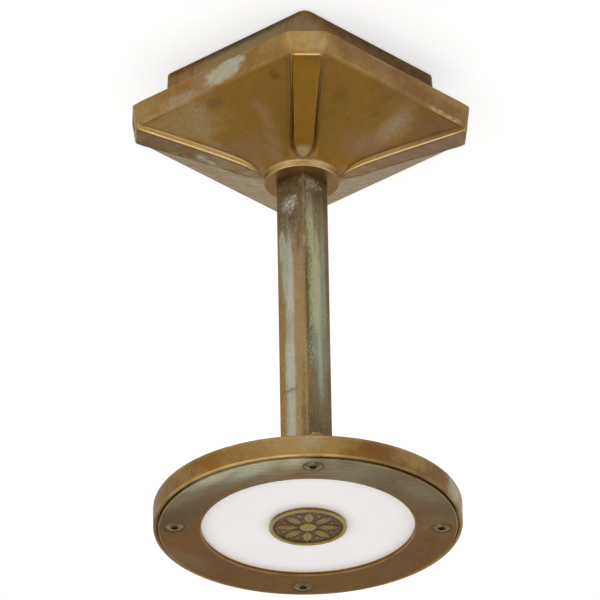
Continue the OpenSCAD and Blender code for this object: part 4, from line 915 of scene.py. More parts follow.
def turned_screw_brass(c):
    # Turned brass screws: grey-brown heads, darker round the rim as painted shade of the gap round them, and darker
    # in the socket
    material, tree, where = new_material("turned_brass_browned")
    ground = brown_ground(tree, where, (c.brown, c.umber, c.grey, c.grey), 4 * MM, 51.0)
    # Painted shade of the gap round each head
    rim = near(tree, where, "outer_edge", 0.5 * MM, ragged=0.2, seed=52.0)
    ground = over(tree, ground, coat(c.dark, 0.5, 0.5), rim, 0.75)
    finish = worn_brass(tree, where, ground, c, edge=0.3 * MM, corner=0.5 * MM, bare=0.0, dirty=0.8, seed=53.0)
    shade(tree, finish, ((cloud(tree, where, 0.8 * MM, 5.0), 0.015 * MM),), Specular_Tint=rgba(c.glance))
    return material


def struck_brass(c):
    # Struck brass medallion: olive gold on the raised parts, purple brown in the sunk field
    material, tree, where = new_material("struck_brass_toned")
    ground = brown_ground(tree, where, (c.honey, c.brass_green, c.brass_green), 6 * MM, 61.0)
    sunk = by_height(tree, where, -268.85 * MM, -268.45 * MM)
    drift = haze(tree, where, 3 * MM, 0.3, 0.6, 0.55, 1.0, 63.0)
    ground = over(tree, ground, coat(c.plum, 0.6, 0.5), sunk, drift)
    finish = worn_brass(tree, where, ground, c, edge=0.3 * MM, corner=0.6 * MM, bare=0.2, dirty=0.6, seed=64.0)
    shade(tree, finish, ((cloud(tree, where, 0.9 * MM, 5.0), 0.02 * MM),))
    return material


def box_brass(c):
    # Cast brass box: olive and brown walls with dull grey-green patches and faint runs under its edge
    material, tree, where = new_material("cast_brass_dulled")
    filmed = [mix(a, b, 0.3) for a, b in zip(c.golden, c.khaki)]
    ground = brown_ground(tree, where, (c.brown, c.golden, c.golden, filmed), 24 * MM, 71.0)
    ground = dulled_behind(tree, where, ground, c, 77.0)
    ground = stain(tree, where, ground, coat(c.moss, 0.3, 0.6), 0.7,
                   (((16, -51, -9), (34, 5, 10)), ((-20, -51, -14), (18, 5, 6)), ((51, -16, -20), (5, 24, 4)),
                    ((47, -47, -12), (7, 7, 10))),
                   grain=5 * MM, seed=73.0, ragged=0.4)
    ground = stain(tree, where, ground, coat(c.khaki, 0.5, 0.5), 0.4, (((-6, -51, -12), (30, 5, 9)),),
                   grain=5 * MM, seed=76.0, ragged=0.4)
    # Dark along the top edges under the ceiling, painted shade of the gap there, and dark down the +X wall
    ground = stain(tree, where, ground, coat(c.dark, 0.6, 0.5), 0.85,
                   (((51, 30, -10), (5, 40, 16)), ((0, -51, -1.5), (60, 5, 2.5)), ((51, 0, -2), (5, 60, 5))),
                   grain=8 * MM, seed=74.0)
    run = spots(tree, where, 3 * MM, 0.25, 75.0, stretch=(1, 1, 6))
    ground = over(tree, ground, coat(c.dark, 0.5, 0.5), run, 0.2)
    shade(tree, ground,
          ((cloud(tree, where, 0.5 * MM, 1.0), 0.02 * MM), (cloud(tree, where, 5 * MM, 3.0), 0.1 * MM)),
          Specular_Tint=rgba(c.glance))
    return material


def opal_glass(c):
    # Flashed opal glass with a satin face: milky white, soft highlights, the faintest cloud in its white
    material, tree, where = new_material("opal_glass_satin")
    faint = haze(tree, where, 25 * MM, 0.3, 0.7, seed=81.0)
    tint = add(tree, "ShaderNodeMix", {0: faint, 6: rgba(c.opal), 7: rgba([v * 0.96 for v in c.opal])},
               data_type="RGBA").outputs[2]
    # Its glow is a little weaker behind the medallion and towards the bezel, as painted shade
    flat = add(tree, "ShaderNodeVectorMath", {0: where, 1: (1, 1, 0)}, operation="MULTIPLY").outputs[0]
    away = add(tree, "ShaderNodeVectorMath", {0: flat}, operation="LENGTH").outputs["Value"]
    glow = 1.0
    for start, end, before, after in ((19 * MM, 27 * MM, 0.26, 0.37), (46 * MM, 56 * MM, 1.0, 0.75)):
        glow_shading = add(tree, "ShaderNodeMapRange",
                     {"Value": away, "From Min": start, "From Max": end, "To Min": before, "To Max": after},
                     interpolation_type="SMOOTHSTEP").outputs[0]
        glow = add(tree, "ShaderNodeMath", {0: glow, 1: glow_shading}, operation="MULTIPLY").outputs[0]
    shade(tree, Finish(tint, 0.0, 0.32), ((cloud(tree, where, 0.4 * MM, 5.0), 0.003 * MM),),
          Emission_Color=rgba(c.opal), Emission_Strength=glow)
    return material


def even(name, base, metallic, roughness, grain, depth, drift=0.82, speckle=None, **sockets):
    """A finish of one tone that drifts a little, with a grain of the given size and depth."""
    material, tree, where = new_material(name)
    fine = cloud(tree, where, grain, len(name) * 1.7)
    wide = haze(tree, where, grain * 14, 0.3, 0.7, seed=len(name) * 2.3)
    tone = add(tree, "ShaderNodeMix", {0: wide, 6: rgba(base), 7: rgba([v * drift for v in base])},
               data_type="RGBA").outputs[2]
    dull = add(tree, "ShaderNodeMapRange",
               {"Value": fine, "From Min": 0.3, "From Max": 0.7, "To Min": roughness * 0.85,
                "To Max": min(1.0, roughness * 1.15)},
               interpolation_type="SMOOTHSTEP").outputs[0]
    finish = Finish(tone, metallic, dull)
    if speckle:
        finish = over(tree, finish, coat(speckle, metallic, roughness), spots(tree, where, grain * 2, 0.18))
    shade(tree, finish, ((fine, depth),), **sockets)
    return material


# Canopy

PANEL_COLUMNS = 12
FLARE_ROWS = 34
INNER_ROWS = 10
FIRST_FLARE_ROW = 0.055
INSIDE_ROUNDS = (0.4 * MM, 0.1 * MM)
COLLAR_ROUND = 0.5 * MM
COLLAR_WALL = 6 * MM
PAST_COLLAR = 0.4 * MM
TOP_FOOT_GAP = 5 * MM
# The panels' wall is this much more when it is measured upright
UPRIGHT_WALL = 1.1
# Along the top edge the rounder rim of the cut corners starts this far from the middle, and is full after this length
CUT_RIM_START, CUT_RIM_LENGTH = 50 * MM, 8 * MM


def fascia(s, z):
    """Half width across the sides, and distance to the cut corners, at a level of the fascia."""
    part = (extent("canopy", 2)[1] - z) / s.fascia_height
    half = mix(s.top_width, s.low_width, part) / 2
    return half, half * ROOT2 - mix(s.cut_top, s.cut_low, part) / 2


def outline(angle, half, corner):
    """Radius of a square with cut corners, at an angle from its diagonal."""
    return min(corner / math.cos(angle), half / math.cos(math.pi / 4 - abs(angle)))


def panel_angles(foot):
    return [mix(foot, math.pi / 4, j / PANEL_COLUMNS) for j in range(PANEL_COLUMNS + 1)]


def fascia_keys(s, z, z_side, inset, foot_gap):
    """Middle and edge of the cut corner, then the side out to its middle, for one row of the fascia."""
    half, corner = fascia(s, z)
    edge = (half - inset) * ROOT2 - (corner - inset)
    side_half, side_corner = fascia(s, z_side)
    keys = [Vector((corner - inset, 0, z)), Vector((corner - inset, edge, z))]
    for a in panel_angles(math.atan2(edge + foot_gap, corner - inset)):
        reach = outline(a, side_half - inset, side_corner - inset)
        keys.append(Vector((reach * math.cos(a), reach * math.sin(a), z_side)))
    return keys


def fall(u):
    """Share of the flare's drop at part u of the way in: nearly straight, then down into the collar."""
    return 0.87 * u + 0.13 * u ** 6


def rib_half(s, r):
    """Half width of a rib's face at a distance from the axis."""
    if r > s.rib_waist_at:
        corner = fascia(s, extent("canopy", 2)[1] - s.fascia_height)[1]
        return mix(s.rib_waist, s.cut_low, (r - s.rib_waist_at) / (corner - s.rib_waist_at)) / 2
    closing = (s.rib_waist_at - r) / (s.rib_waist_at - s.collar_width / 2 + PAST_COLLAR)
    return s.rib_waist / 2 * (1 - closing ** 3.4)


def flare_keys(s, u):
    """Middle, edge and foot of the rib, then the panel out to the middle of its side, for one row of the flare."""
    z_panel = extent("canopy", 2)[1] - s.fascia_height + s.rib_step
    half, corner = fascia(s, z_panel)
    r = mix(corner, s.collar_width / 2, u)
    z = z_panel - s.flare_drop * fall(u)
    face = rib_half(s, r)
    # The rib sinks into the collar over the last of its length
    standing = 1 - u ** 8
    rise, side = mix(0.05 * MM, s.rib_step, standing), mix(0.08 * MM, s.rib_side, standing)
    keys = [Vector((r, 0, z - rise)), Vector((r, face, z - rise))]
    for a in panel_angles(math.asin(min(0.99, (face + side) / r))):
        reach = mix(outline(a, half, corner), s.collar_width / 2, u)
        keys.append(Vector((reach * math.cos(a), reach * math.sin(a), z)))
    return keys


def whole_row(keys, edge_back, foot_back):
    """One closed row of points from the keys of half a quarter, with the rib's edge and foot turned round."""
    backs = [0, edge_back, foot_back] + [0] * (len(keys) - 3)
    mirrored = [Vector((k.x, -k.y, k.z)) for k in keys]
    quarter = mirrored[:0:-1] + keys[:-1]
    quarter_backs = backs[:0:-1] + backs[:-1]
    path, rounds = [], []
    for q in range(4):
        turn = Matrix.Rotation(math.radians(45 + 90 * q), 3, "Z")
        path += [turn @ k for k in quarter]
        rounds += quarter_backs
    return rounded(path, rounds, closed=True, guards=GUARDS)


def ring_of(row, r, z):
    """A round row with the same points as another, seen from the axis."""
    return [Vector((r * p.x / p.xy.length, r * p.y / p.xy.length, z)) for p in row]


def canopy_shape(s):
    """The casting as rows from its inner rim over the fascia, down the flare, round the collar and up inside."""
    z_top = extent("canopy", 2)[1]
    z_low = z_top - s.fascia_height
    z_panel = z_low + s.rib_step
    z_inner = z_panel + s.wall * UPRIGHT_WALL
    z_end = z_panel - s.flare_drop - s.collar_height
    inside_top = whole_row(fascia_keys(s, z_top, z_top, s.wall, s.rib_side), *INSIDE_ROUNDS)
    top = whole_row(fascia_keys(s, z_top, z_top, 0, TOP_FOOT_GAP), s.corner_round, s.corner_round)
    fold = whole_row(fascia_keys(s, z_low, z_panel, 0, s.rib_side), s.low_corner_round, s.foot_round)
    # The flare's rows lie closer together towards the collar
    parts = [mix(FIRST_FLARE_ROW, 1, 1 - (1 - j / FLARE_ROWS) ** 1.2) for j in range(FLARE_ROWS + 1)]
    flare = [whole_row(flare_keys(s, u), s.edge_round, s.foot_round) for u in parts]
    flare[-1] = ring_of(flare[-1], s.collar_width / 2, z_end + s.collar_height)
    inner_rim = whole_row(fascia_keys(s, z_inner, z_inner, s.wall, s.rib_side), *INSIDE_ROUNDS)
    inner_end = ring_of(inner_rim, s.collar_width / 2 - COLLAR_WALL, z_end + s.collar_end)
    inner = []
    for j in range(INNER_ROWS, -1, -1):
        u = j / INNER_ROWS
        inner.append([Vector((mix(p.x, q.x, u), mix(p.y, q.y, u), mix(p.z, q.z, fall(u))))
                      for p, q in zip(inner_rim, inner_end)])
    rows = [inside_top, top, fold, *flare, ring_of(top, s.collar_width / 2, z_end),
            ring_of(top, s.bore / 2, z_end), ring_of(top, s.bore / 2, z_end + s.collar_end), *inner]
    columns = []
    for column in zip(*rows):
        rim_point, fold_point = column[1:3]
        past_start = min(abs(rim_point.x), abs(rim_point.y)) - CUT_RIM_START
        rim = mix(s.rim_round, s.cut_rim_round, min(1.0, max(0.0, past_start / CUT_RIM_LENGTH)))
        back = mix(s.cut_fold_round, s.fold_round, (fold_point.z - z_low) / s.rib_step)
        rounds = [0, rim, back] + [0] * (len(flare) - 1) + [COLLAR_ROUND] * 2 + [0] * (2 + len(inner))
        columns.append(rounded(list(column), rounds, closed=True, guards=GUARDS))
    return stacked(list(zip(*columns)))


def canopy_screw_places(sink=0.0):
    """Places of the two screws in the cut corners, +Z into the light."""
    level = sum(extent("canopy_screws", 2)) / 2
    s = bpy.context.scene.canopy_sizes
    reach = fascia(s, level)[1] - sink
    inward = Matrix.Rotation(math.radians(-90), 4, "Y")
    return [Matrix.Rotation(math.radians(a), 4, "Z") @ Matrix.Translation((reach, 0, level)) @ inward
            for a in (45, 225)]


def countersinks(places):
    """Countersunk holes for the canopy's screws, to cut with."""
    hole, mouth, outside = 2.2 * MM, 5.0 * MM, -1 * MM
    shank = rod(hole, hole, outside, 5.4 * MM)
    cone = rod(mouth, hole, outside, 2.2 * MM)
    return copies(carved(shank, cone, "UNION"), places)


class CEILINGLIGHT_OT_make_canopy(bpy.types.Operator):
    """Make the cast canopy and the two screws in its cut corners"""
    bl_idname = "ceiling_light.make_canopy"
    bl_label = "Canopy"

    def execute(self, context):
        s, c = context.scene.canopy_sizes, context.scene.brass_colours
        casting = carved(canopy_shape(s), countersinks(canopy_screw_places()))
        piece("canopy_casting", casting, cast_brass(c), "canopy_brass", "canopy")
        head, cone, shank, end = 3.8 * MM, 1.95 * MM, 2.0 * MM, 10 * MM
        screw = lathed([(0, 0), (head, 0), (shank, cone), (shank, end), (0, end)], [0, 0.2 * MM, 0, 0, 0],
                       segments=48, closed=False)
        hexagon = rod(1.4 * MM, 1.4 * MM, -1 * MM, 1.2 * MM, segments=6)
        screws = copies(carved(screw, hexagon), canopy_screw_places(0.25 * MM))
        piece("canopy_side_screws", screws, turned_screw_brass(c), "screw_brass", "canopy_screws")
        return {"FINISHED"}


# Stem

class CEILINGLIGHT_OT_make_stem(bpy.types.Operator):
    """Make the square stem"""
    bl_idname = "ceiling_light.make_stem"
    bl_label = "Stem"

    def execute(self, context):
        s, c = context.scene.stem_sizes, context.scene.brass_colours
        z_low, z_high = extent("stem_tube", 2)

        def row(half, corner, z):
            path = [Vector((x * half, y * half, z)) for x, y in ((-1, -1), (1, -1), (1, 1), (-1, 1))]
            return rounded(path, [corner] * 4, steps=8, closed=True, guards=GUARDS)

        half, bore = s.width / 2, s.width / 2 - s.wall
        rows = [row(half, s.corner, z_low), row(half, s.corner, z_high),
                row(bore, s.corner - s.wall, z_high), row(bore, s.corner - s.wall, z_low)]
        end_rounds = [0.2 * MM] * 4
        columns = [rounded(list(column), end_rounds, steps=2, closed=True, guards=GUARDS) for column in zip(*rows)]
        piece("square_stem", stacked(list(zip(*columns))), drawn_brass(c), "stem_brass", "stem_tube", sharp=13)
        return {"FINISHED"}


# Head

DOME_ROWS = 10
LOBES = 6


def screw_places(s, level):
    reach = s.pan_width / 2 - s.rim - s.groove - s.screw_inset
    return [Matrix.Rotation(math.radians(45 + 90 * q), 4, "Z") @ Matrix.Translation((reach, 0, level))
            for q in range(4)]


def head_radii(s):
    """Radii of the rim's inside, the bezel's edge, the light window and the opal disc."""
    rim_in = s.pan_width / 2 - s.rim
    bezel = rim_in - s.groove
    window = bezel - s.bezel_width
    opal = window + s.opal_lap
    return rim_in, bezel, window, opal


class CEILINGLIGHT_OT_make_pan(bpy.types.Operator):
    """Make the pan with its rim, seat, inner wall and screw posts"""
    bl_idname = "ceiling_light.make_pan"
    bl_label = "Pan"

    def execute(self, context):
        s, c = context.scene.head_sizes, context.scene.brass_colours
        rim_in, _, window, _ = head_radii(s)
        z_low, z_top = extent("pan", 2)
        seat = extent("bezel_ring", 2)[1]
        seal = extent("opal_seal", 2)[1]
        roof = z_top - s.roof
        edge, bore = s.pan_width / 2, 5.2 * MM
        seat_in, wall_out, wall_in = rim_in - s.seat, window + 6 * MM, window + 2.5 * MM
        profile = [(bore, z_top), (edge, z_top), (edge, z_low), (rim_in, z_low), (rim_in, seat), (seat_in, seat),
                   (seat_in, roof), (wall_out, roof), (wall_out, seal), (wall_in, seal), (wall_in, roof),
                   (bore, roof)]
        rounds = [0, s.pan_edge, 0.35 * MM, 0.3 * MM, 0.2 * MM] + [0] * 7
        places, post, thread = screw_places(s, seat), 4.9 * MM, 2.55 * MM
        shape = carved(lathed(profile, rounds), copies(rod(post, post, 0, roof - seat + 1 * MM), places), "UNION")
        shape = carved(shape, copies(rod(thread, thread, -1 * MM, 8 * MM), places))
        piece("head_pan", shape, spun_brass(c), "pan_brass", "pan")
        return {"FINISHED"}


class CEILINGLIGHT_OT_make_braze(bpy.types.Operator):
    """Make the lumpy drop of braze on the pan's top edge"""
    bl_idname = "ceiling_light.make_braze"
    bl_label = "Braze drop"

    def execute(self, context):
        s, c = context.scene.head_sizes, context.scene.brass_colours
        turn = Matrix.Rotation(math.radians(-44), 3, "Z")
        centre = turn @ Vector((s.pan_width / 2 - 2.6 * MM, 0, extent("pan", 2)[1] + 0.6 * MM))
        half_sizes = Vector((1.4 * MM, 2.7 * MM, 1.5 * MM))
        bm = bmesh.new()
        bmesh.ops.create_icosphere(bm, subdivisions=5, radius=1.0)
        for v in bm.verts:
            swell = 1 + 0.45 * noise.noise(v.co * 2.2 + Vector((3, 1, 4))) + 0.2 * noise.noise(v.co * 5.5)
            v.co = centre + turn @ (v.co * half_sizes) * swell
        piece("braze_drop", bm, braze(c), "pan_brass")
        return {"FINISHED"}


class CEILINGLIGHT_OT_make_bezel(bpy.types.Operator):
    """Make the bezel ring and its four raised countersunk screws"""
    bl_idname = "ceiling_light.make_bezel"
    bl_label = "Bezel and screws"

    def execute(self, context):
        s, c = context.scene.head_sizes, context.scene.brass_colours
        _, bezel, window, _ = head_radii(s)
        low, seat = extent("bezel_ring", 2)
        shape = lathed([(window, seat), (bezel, seat), (bezel, low), (window, low)],
                       [0, 0, s.bezel_edge, s.bezel_edge])
        # Countersinks at 45 degrees, a little wider than the heads
        head, thick = s.screw_head / 2, seat - low
        sink, past, skin, hole = head + 0.5 * MM, 1 * MM, 0.1 * MM, 2.7 * MM
        cone = rod(sink + past, sink - thick + skin, -past, thick - skin)
        tool = carved(cone, rod(hole, hole, -2 * MM, thick + past), "UNION")
        places = screw_places(s, low)
        finish = turned_bezel_brass(c, [place.translation / MM for place in places])
        piece("bezel", carved(shape, copies(tool, places)), finish, "bezel_brass", "bezel_ring")

        # Raised heads, with a six-lobe socket round a pin
        rise, cone_end, shank, end = 0.8 * MM, thick - 0.5 * MM, 2.5 * MM, 6.5 * MM
        ball = (head ** 2 + rise ** 2) / (2 * rise)
        radii = [head * j / DOME_ROWS for j in range(DOME_ROWS + 1)]
        dome = [(r, ball - rise - math.sqrt(ball ** 2 - r ** 2)) for r in radii]
        screw = lathed(dome + [(head - cone_end, cone_end), (shank, cone_end), (shank, end), (0, end)],
                       segments=64, closed=False)
        socket, lobe, pin = 1.2 * MM, 0.5 * MM, 0.45 * MM
        around = [Matrix.Rotation(math.tau * j / LOBES, 4, "Z") @ Matrix.Translation((socket, 0, 0))
                  for j in range(LOBES)]
        lobes = copies(rod(lobe, lobe, -2 * MM, 1 * MM, segments=24), around)
        lobed = carved(rod(socket, socket, -2 * MM, 1 * MM), lobes, "UNION")
        lobed = carved(lobed, rod(pin, pin, -rise + 0.25 * MM, 3 * MM, segments=24))
        screws = copies(carved(screw, lobed), screw_places(s, low + 0.45 * MM))
        piece("bezel_screw_heads", screws, turned_screw_brass(c), "screw_brass", "bezel_screws")
        return {"FINISHED"}


class CEILINGLIGHT_OT_make_opal(bpy.types.Operator):
    """Make the opal disc behind the light window"""
    bl_idname = "ceiling_light.make_opal"
    bl_label = "Opal disc"

    def execute(self, context):
        s = context.scene.head_sizes
        low, high = extent("opal_disc", 2)
        opal = head_radii(s)[3]
        shape = lathed([(0, low), (opal, low), (opal, high), (0, high)], [0, 0.3 * MM, 0.3 * MM, 0], closed=False)
        piece("opal_light_disc", shape, opal_glass(context.scene.light_colours), "opal", "opal_disc")
        return {"FINISHED"}


# Medallion

MEDALLION_COLUMNS = 240
MEDALLION_RINGS = 44
FIELD_DEPTH = 0.9 * MM
ROSETTE_RISE = 0.65 * MM
BEAD_RISE, BEAD_RADIUS = 0.45 * MM, 1.1 * MM
VEIN_DEPTH, VEIN_WIDTH = 0.16 * MM, 0.35 * MM


def rosette_height(r, angle, radius, petals):
    """How far the rosette stands over the medallion's field: pointed petals, a bead between two and a button."""
    inner, outer = radius * 0.26, radius * 0.8
    button = inner - 0.9 * MM
    if r < button:
        return ROSETTE_RISE * math.sqrt(max(0.0, 1 - (r / button) ** 4))
    step = math.tau / petals
    away = (angle + step / 2) % step - step / 2
    along, across = r * math.cos(away), r * math.sin(away)
    size = outer - inner
    # A petal is as wide as its share of the round allows
    wide = math.degrees(step) * 0.105 * radius / 20
    arc = ((size / 2) ** 2 + (wide / 2) ** 2) / wide
    middle = (inner + outer) / 2
    if abs(along - middle) < size / 2:
        edge = math.sqrt(arc ** 2 - (along - middle) ** 2) - (arc - wide / 2)
        if abs(across) < edge:
            vein = VEIN_DEPTH * max(0.0, 1 - abs(across) / VEIN_WIDTH)
            return ROSETTE_RISE * (1 - (across / edge) ** 2) ** 0.5 - vein
    between = abs(away) - step / 2
    bead = math.hypot(r * math.cos(between) - radius * 0.66, r * math.sin(between))
    return BEAD_RISE * math.sqrt(max(0.0, 1 - (bead / BEAD_RADIUS) ** 2))


def medallion_shape(petals):
    radius = width_of("medallion") / 2
    face, back = extent("medallion", 2)
    field = face + FIELD_DEPTH
    # The raised rim with its rounds, then rings across the field
    profile = [(radius, back), (radius, face), (radius - 1.8 * MM, face), (radius - 2.4 * MM, field),
               (radius - 3.4 * MM, field)]
    path = rounded([Vector((r, 0, z)) for r, z in profile], [0.35 * MM, 0.5 * MM, 0.4 * MM, 0.25 * MM, 0])
    levels = [(radius - 0.4 * MM, back)] + [(p.x, p.z) for p in path[1:]]
    inside = levels[-1][0]
    levels += [(inside * (1 - j / MEDALLION_RINGS), field) for j in range(1, MEDALLION_RINGS)]
    rows = [[Vector((0, 0, back))]]
    for r, z in levels:
        row = []
        for i in range(MEDALLION_COLUMNS):
            a = math.tau * i / MEDALLION_COLUMNS
            lift = rosette_height(r, a, radius, petals) if r < inside else 0
            row.append(Vector((r * math.cos(a), r * math.sin(a), z - lift)))
        rows.append(row)
    rows.append([Vector((0, 0, field - ROSETTE_RISE))])
    return stacked(rows, closed=False)


class CEILINGLIGHT_OT_make_medallion(bpy.types.Operator):
    """Make the medallion with its rosette"""
    bl_idname = "ceiling_light.make_medallion"
    bl_label = "Medallion"

    def execute(self, context):
        shape = medallion_shape(context.scene.head_sizes.petals)
        piece("rosette_medallion", shape, struck_brass(context.scene.brass_colours), "medallion_brass", "medallion")
        return {"FINISHED"}


# CAD nodes that keep their shape

class CEILINGLIGHT_OT_finish_box(bpy.types.Operator):
    """Give the ceiling box, its foam and its grommet their finishes"""
    bl_idname = "ceiling_light.finish_box"
    bl_label = "Ceiling box"

    def execute(self, context):
        c, k = context.scene.brass_colours, context.scene.light_colours
        dress("ceiling_box", box_brass(c))
        # Closed-cell foam: matt, with cut pores of about 0.8 mm that are drawn 1.5 mm wide to show
        dress("ceiling_foam", even("closed_cell_foam_cut", k.foam, 0.0, 0.9, 1.5 * MM, 0.2 * MM, drift=0.6,
                                   speckle=linear("#4A4844")))
        # Moulded rubber: black, a low sheen
        rubber = even("rubber_moulded", k.rubber, 0.0, 0.55, 0.3 * MM, 0.008 * MM)
        for node in ("cable_grommet", "plate_edging", "top_seal", "bottom_seal"):
            dress(node, rubber)
        return {"FINISHED"}


class CEILINGLIGHT_OT_finish_inside(bpy.types.Operator):
    """Give every piece inside the light its finish"""
    bl_idname = "ceiling_light.finish_inside"
    bl_label = "Inside"

    def execute(self, context):
        c, k = context.scene.brass_colours, context.scene.light_colours
        finishes = {
            # Zinc-plated pressed steel: bluish grey with a faint crystalline cloud
            even("steel_zinc_plated", linear("#B9BCC0"), 0.9, 0.38, 0.7 * MM, 0.006 * MM, drift=0.8):
                ("driver_screws", "mounting_plate", "plate_screws", "top_washer", "bottom_washer", "board_screws"),
            # Turned brass that has stayed indoors: yellow, fine turning marks
            even("turned_brass_bright", linear("#C9A25C"), 0.95, 0.3, 0.3 * MM, 0.006 * MM):
                ("terminal_screws", "earth_screw", "top_nut", "top_nipple", "top_plug", "bottom_plug",
                 "bottom_nipple", "bottom_nut"),
            # Tinned copper: soft silver grey
            even("copper_tinned", linear("#C8C8C4"), 0.9, 0.35, 0.4 * MM, 0.006 * MM): ("earth_tag",),
            # Glazed porcelain: milky white, wet highlights
            even("porcelain_glazed", k.porcelain, 0.0, 0.12, 2 * MM, 0.01 * MM, drift=0.95): ("terminal_block",),
            # Moulded polycarbonate: white, a fine spark-eroded grain
            even("polycarbonate_moulded", k.case, 0.0, 0.5, 0.25 * MM, 0.01 * MM, drift=0.95): ("driver",),
            # Extruded PVC: brown, smooth with a low gloss
            even("pvc_brown_extruded", linear("#5A3A26"), 0.0, 0.4, 0.5 * MM, 0.004 * MM): ("supply_leads",),
            # Extruded PVC: green with yellow flecks of its stripe
            even("pvc_green_extruded", linear("#3F8B3A"), 0.0, 0.4, 0.5 * MM, 0.004 * MM,
                 speckle=linear("#D9C93A")): ("earth_lead",),
            # Sheath of grey PVC: smooth with a low gloss
            even("pvc_grey_extruded", linear("#A9ABA8"), 0.0, 0.42, 0.6 * MM, 0.005 * MM): ("stem_lead",),
            # Silicone-coated fine leads: off-white, soft
            even("silicone_lead_extruded", linear("#D8D2C4"), 0.0, 0.5, 0.3 * MM, 0.003 * MM): ("board_leads",),
            # Filled silicone heat pad: grey-blue and matt
            even("silicone_pad_filled", linear("#8C98A6"), 0.0, 0.8, 0.4 * MM, 0.01 * MM): ("heat_pad",),
            # Acrylic foam tape: dark grey and matt
            even("acrylic_foam_tape", linear("#4A4A4A"), 0.0, 0.85, 0.4 * MM, 0.02 * MM): ("medallion_pad",),
            # White solder mask on an aluminium board: bright and slightly glossy
            even("solder_mask_printed", linear("#F1F1EC"), 0.0, 0.3, 0.5 * MM, 0.003 * MM, drift=0.96):
                ("led_board",),
            # Phosphor in silicone: yellow, fine grains
            even("phosphor_silicone_cast", linear("#E8C545"), 0.0, 0.4, 0.2 * MM, 0.006 * MM): ("leds",),
            # Natural nylon: creamy white, a little sheen
            even("nylon_moulded", linear("#E6E0CF"), 0.0, 0.45, 0.3 * MM, 0.006 * MM): ("board_connector",),
            # Cast silicone ring: milky and soft
            even("silicone_moulded", linear("#DCDCD8"), 0.0, 0.55, 0.4 * MM, 0.004 * MM): ("opal_seal",),
        }
        for material, nodes in finishes.items():
            for node in nodes:
                dress(node, material)
        return {"FINISHED"}


# Stage

def lamp(name, power, size, place, target):
    data = bpy.data.lights.new(name, "AREA")
    data.energy, data.shape, data.size = power, "DISK", size
    obj = bpy.data.objects.new(name, data)
    obj.location = place
    obj.rotation_euler = (target - Vector(place)).to_track_quat("-Z", "Y").to_euler()
    bpy.context.collection.objects.link(obj)


def sheet(name, side, z, material):
    """A square of the stage."""
    bm = bmesh.new()
    bmesh.ops.create_grid(bm, x_segments=1, y_segments=1, size=side / 2)
    mesh = bpy.data.meshes.new(name)
    bm.to_mesh(mesh)
    bm.free()
    mesh.materials.append(material)
    obj = bpy.data.objects.new(name, mesh)
    obj.location.z = z
    bpy.context.collection.objects.link(obj)
    return obj


def seen_directly(tree):
    """1 for the rays that show the background itself, in the view, in glass and in metal."""
    path = add(tree, "ShaderNodeLightPath").outputs
    seen = path["Is Camera Ray"]
    for ray in ("Is Glossy Ray", "Is Transmission Ray"):
        seen = add(tree, "ShaderNodeMath", {0: seen, 1: path[ray]}, operation="MAXIMUM").outputs[0]
    return seen


def paint(name, hex_colour, glow):
    """A matt paint that glows a little where it is seen or reflected. From behind it isn't there, so that the light
    can be looked at from all sides."""
    material, tree = new_material(name)[:2]
    matt = add(tree, "ShaderNodeBsdfDiffuse", {"Color": rgba(linear(hex_colour))})
    glow = add(tree, "ShaderNodeMath", {0: seen_directly(tree), 1: glow}, operation="MULTIPLY").outputs[0]
    lit = add(tree, "ShaderNodeEmission", {"Strength": glow})
    white = add(tree, "ShaderNodeAddShader", {0: matt.outputs[0], 1: lit.outputs[0]})
    behind = add(tree, "ShaderNodeNewGeometry").outputs["Backfacing"]
    clear = add(tree, "ShaderNodeBsdfTransparent")
    shown = add(tree, "ShaderNodeMixShader", {0: behind, 1: white.outputs[0], 2: clear.outputs[0]})
    add(tree, "ShaderNodeOutputMaterial", {"Surface": shown.outputs[0]})
    return material


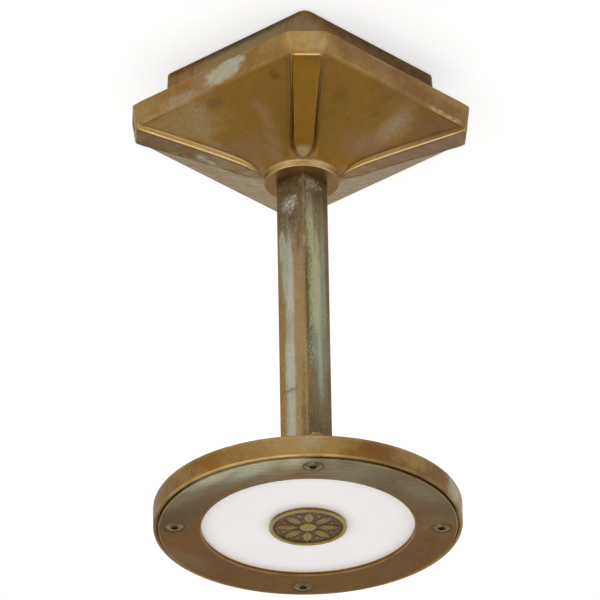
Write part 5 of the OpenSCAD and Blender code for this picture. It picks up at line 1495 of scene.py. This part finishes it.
class CEILINGLIGHT_OT_make_stage(bpy.types.Operator):
    """Make the ceiling, the floor, the lamps, the sky and the camera"""
    bl_idname = "ceiling_light.make_stage"
    bl_label = "Stage and camera"

    def execute(self, context):
        s, scene = context.scene.stage_settings, context.scene
        # White emulsion rolled on plaster: shows as white from below but keeps the light's soft shadow
        ceiling = sheet("stage_ceiling", s.ceiling_side, 0.2 * MM, paint("emulsion_rolled_ceiling", "#F4F4F4", 0.59))
        ceiling.rotation_euler.x = math.pi
        # Pale floor paint: matt, nearly white
        sheet("stage_floor", s.floor_side, s.floor_level, paint("floor_painted_pale", "#E4E2DE", 0.48))

        world = bpy.data.worlds.new("plain_white")
        world.use_nodes = True
        tree = world.node_tree
        tree.nodes.clear()
        # White where the sky is seen itself, and weaker as the light that it gives
        strength = add(tree, "ShaderNodeMapRange", {"Value": seen_directly(tree), "To Min": s.sky, "To Max": 1.0})
        sky = add(tree, "ShaderNodeBackground", {"Color": rgba((1, 1, 1)), "Strength": strength.outputs[0]})
        add(tree, "ShaderNodeOutputWorld", {"Surface": sky.outputs[0]})
        scene.world = world

        ahead = Vector((-math.sin(s.azimuth) * math.cos(s.climb), math.cos(s.azimuth) * math.cos(s.climb),
                        math.sin(s.climb)))
        right = Vector((math.cos(s.azimuth), math.sin(s.azimuth), 0))
        aim = Vector(s.aim)
        level = Vector((ahead.x, ahead.y, 0)).normalized()
        # Two broad lamps stand in front of the light, to both sides of the camera and below its aim
        below = aim - Vector((0, 0, 0.85))
        lamp("key_lamp", s.key_power, 1.1, below - level * 1.8 - right * 0.9, aim)
        lamp("fill_lamp", s.fill_power, 1.4, below - level * 1.4 + right * 1.9, aim)

        data = bpy.data.cameras.new("camera")
        data.lens, data.sensor_width = s.focal, 36
        data.clip_start, data.clip_end = 0.1, 50
        camera = bpy.data.objects.new("camera", data)
        up = right.cross(ahead)
        rolled = right * math.cos(s.roll) - up * math.sin(s.roll)
        upright = right * math.sin(s.roll) + up * math.cos(s.roll)
        turn = Matrix((rolled, upright, -ahead)).transposed().to_4x4()
        camera.matrix_world = Matrix.Translation(aim - ahead * s.distance) @ turn
        bpy.context.collection.objects.link(camera)
        scene.camera = camera
        scene.view_settings.view_transform = "Standard"
        return {"FINISHED"}


OPERATORS = (CEILINGLIGHT_OT_make_canopy, CEILINGLIGHT_OT_make_stem, CEILINGLIGHT_OT_make_pan,
             CEILINGLIGHT_OT_make_braze, CEILINGLIGHT_OT_make_bezel, CEILINGLIGHT_OT_make_opal,
             CEILINGLIGHT_OT_make_medallion, CEILINGLIGHT_OT_finish_box, CEILINGLIGHT_OT_finish_inside,
             CEILINGLIGHT_OT_make_stage)
GROUPS = {"canopy_sizes": CanopySizes, "stem_sizes": StemSizes, "head_sizes": HeadSizes,
          "brass_colours": BrassColours, "light_colours": LightColours, "stage_settings": StageSettings}


class CEILINGLIGHT_PT_panel(bpy.types.Panel):
    """Lists the light's pieces and its stage"""
    bl_idname = "CEILINGLIGHT_PT_panel"
    bl_label = "Ceiling light"
    bl_space_type = "VIEW_3D"
    bl_region_type = "UI"
    bl_category = "Ceiling light"

    def draw(self, context):
        for operator in OPERATORS:
            self.layout.operator(operator.bl_idname)
        for name, group in GROUPS.items():
            box = self.layout.box()
            box.label(text=group.__doc__)
            settings = getattr(context.scene, name)
            for prop in group.__annotations__:
                box.prop(settings, prop)


def register():
    for group in GROUPS.values():
        bpy.utils.register_class(group)
    for operator in OPERATORS:
        bpy.utils.register_class(operator)
    bpy.utils.register_class(CEILINGLIGHT_PT_panel)
    for name, group in GROUPS.items():
        setattr(bpy.types.Scene, name, PointerProperty(type=group))


def unregister():
    for name in GROUPS:
        delattr(bpy.types.Scene, name)
    for kind in (CEILINGLIGHT_PT_panel, *OPERATORS, *GROUPS.values()):
        bpy.utils.unregister_class(kind)


def main():
    """Makes everything in order."""
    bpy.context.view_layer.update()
    register()
    for operator in OPERATORS:
        group, name = operator.bl_idname.split(".")
        getattr(getattr(bpy.ops, group), name)()


if __name__ == "__main__":
    main()
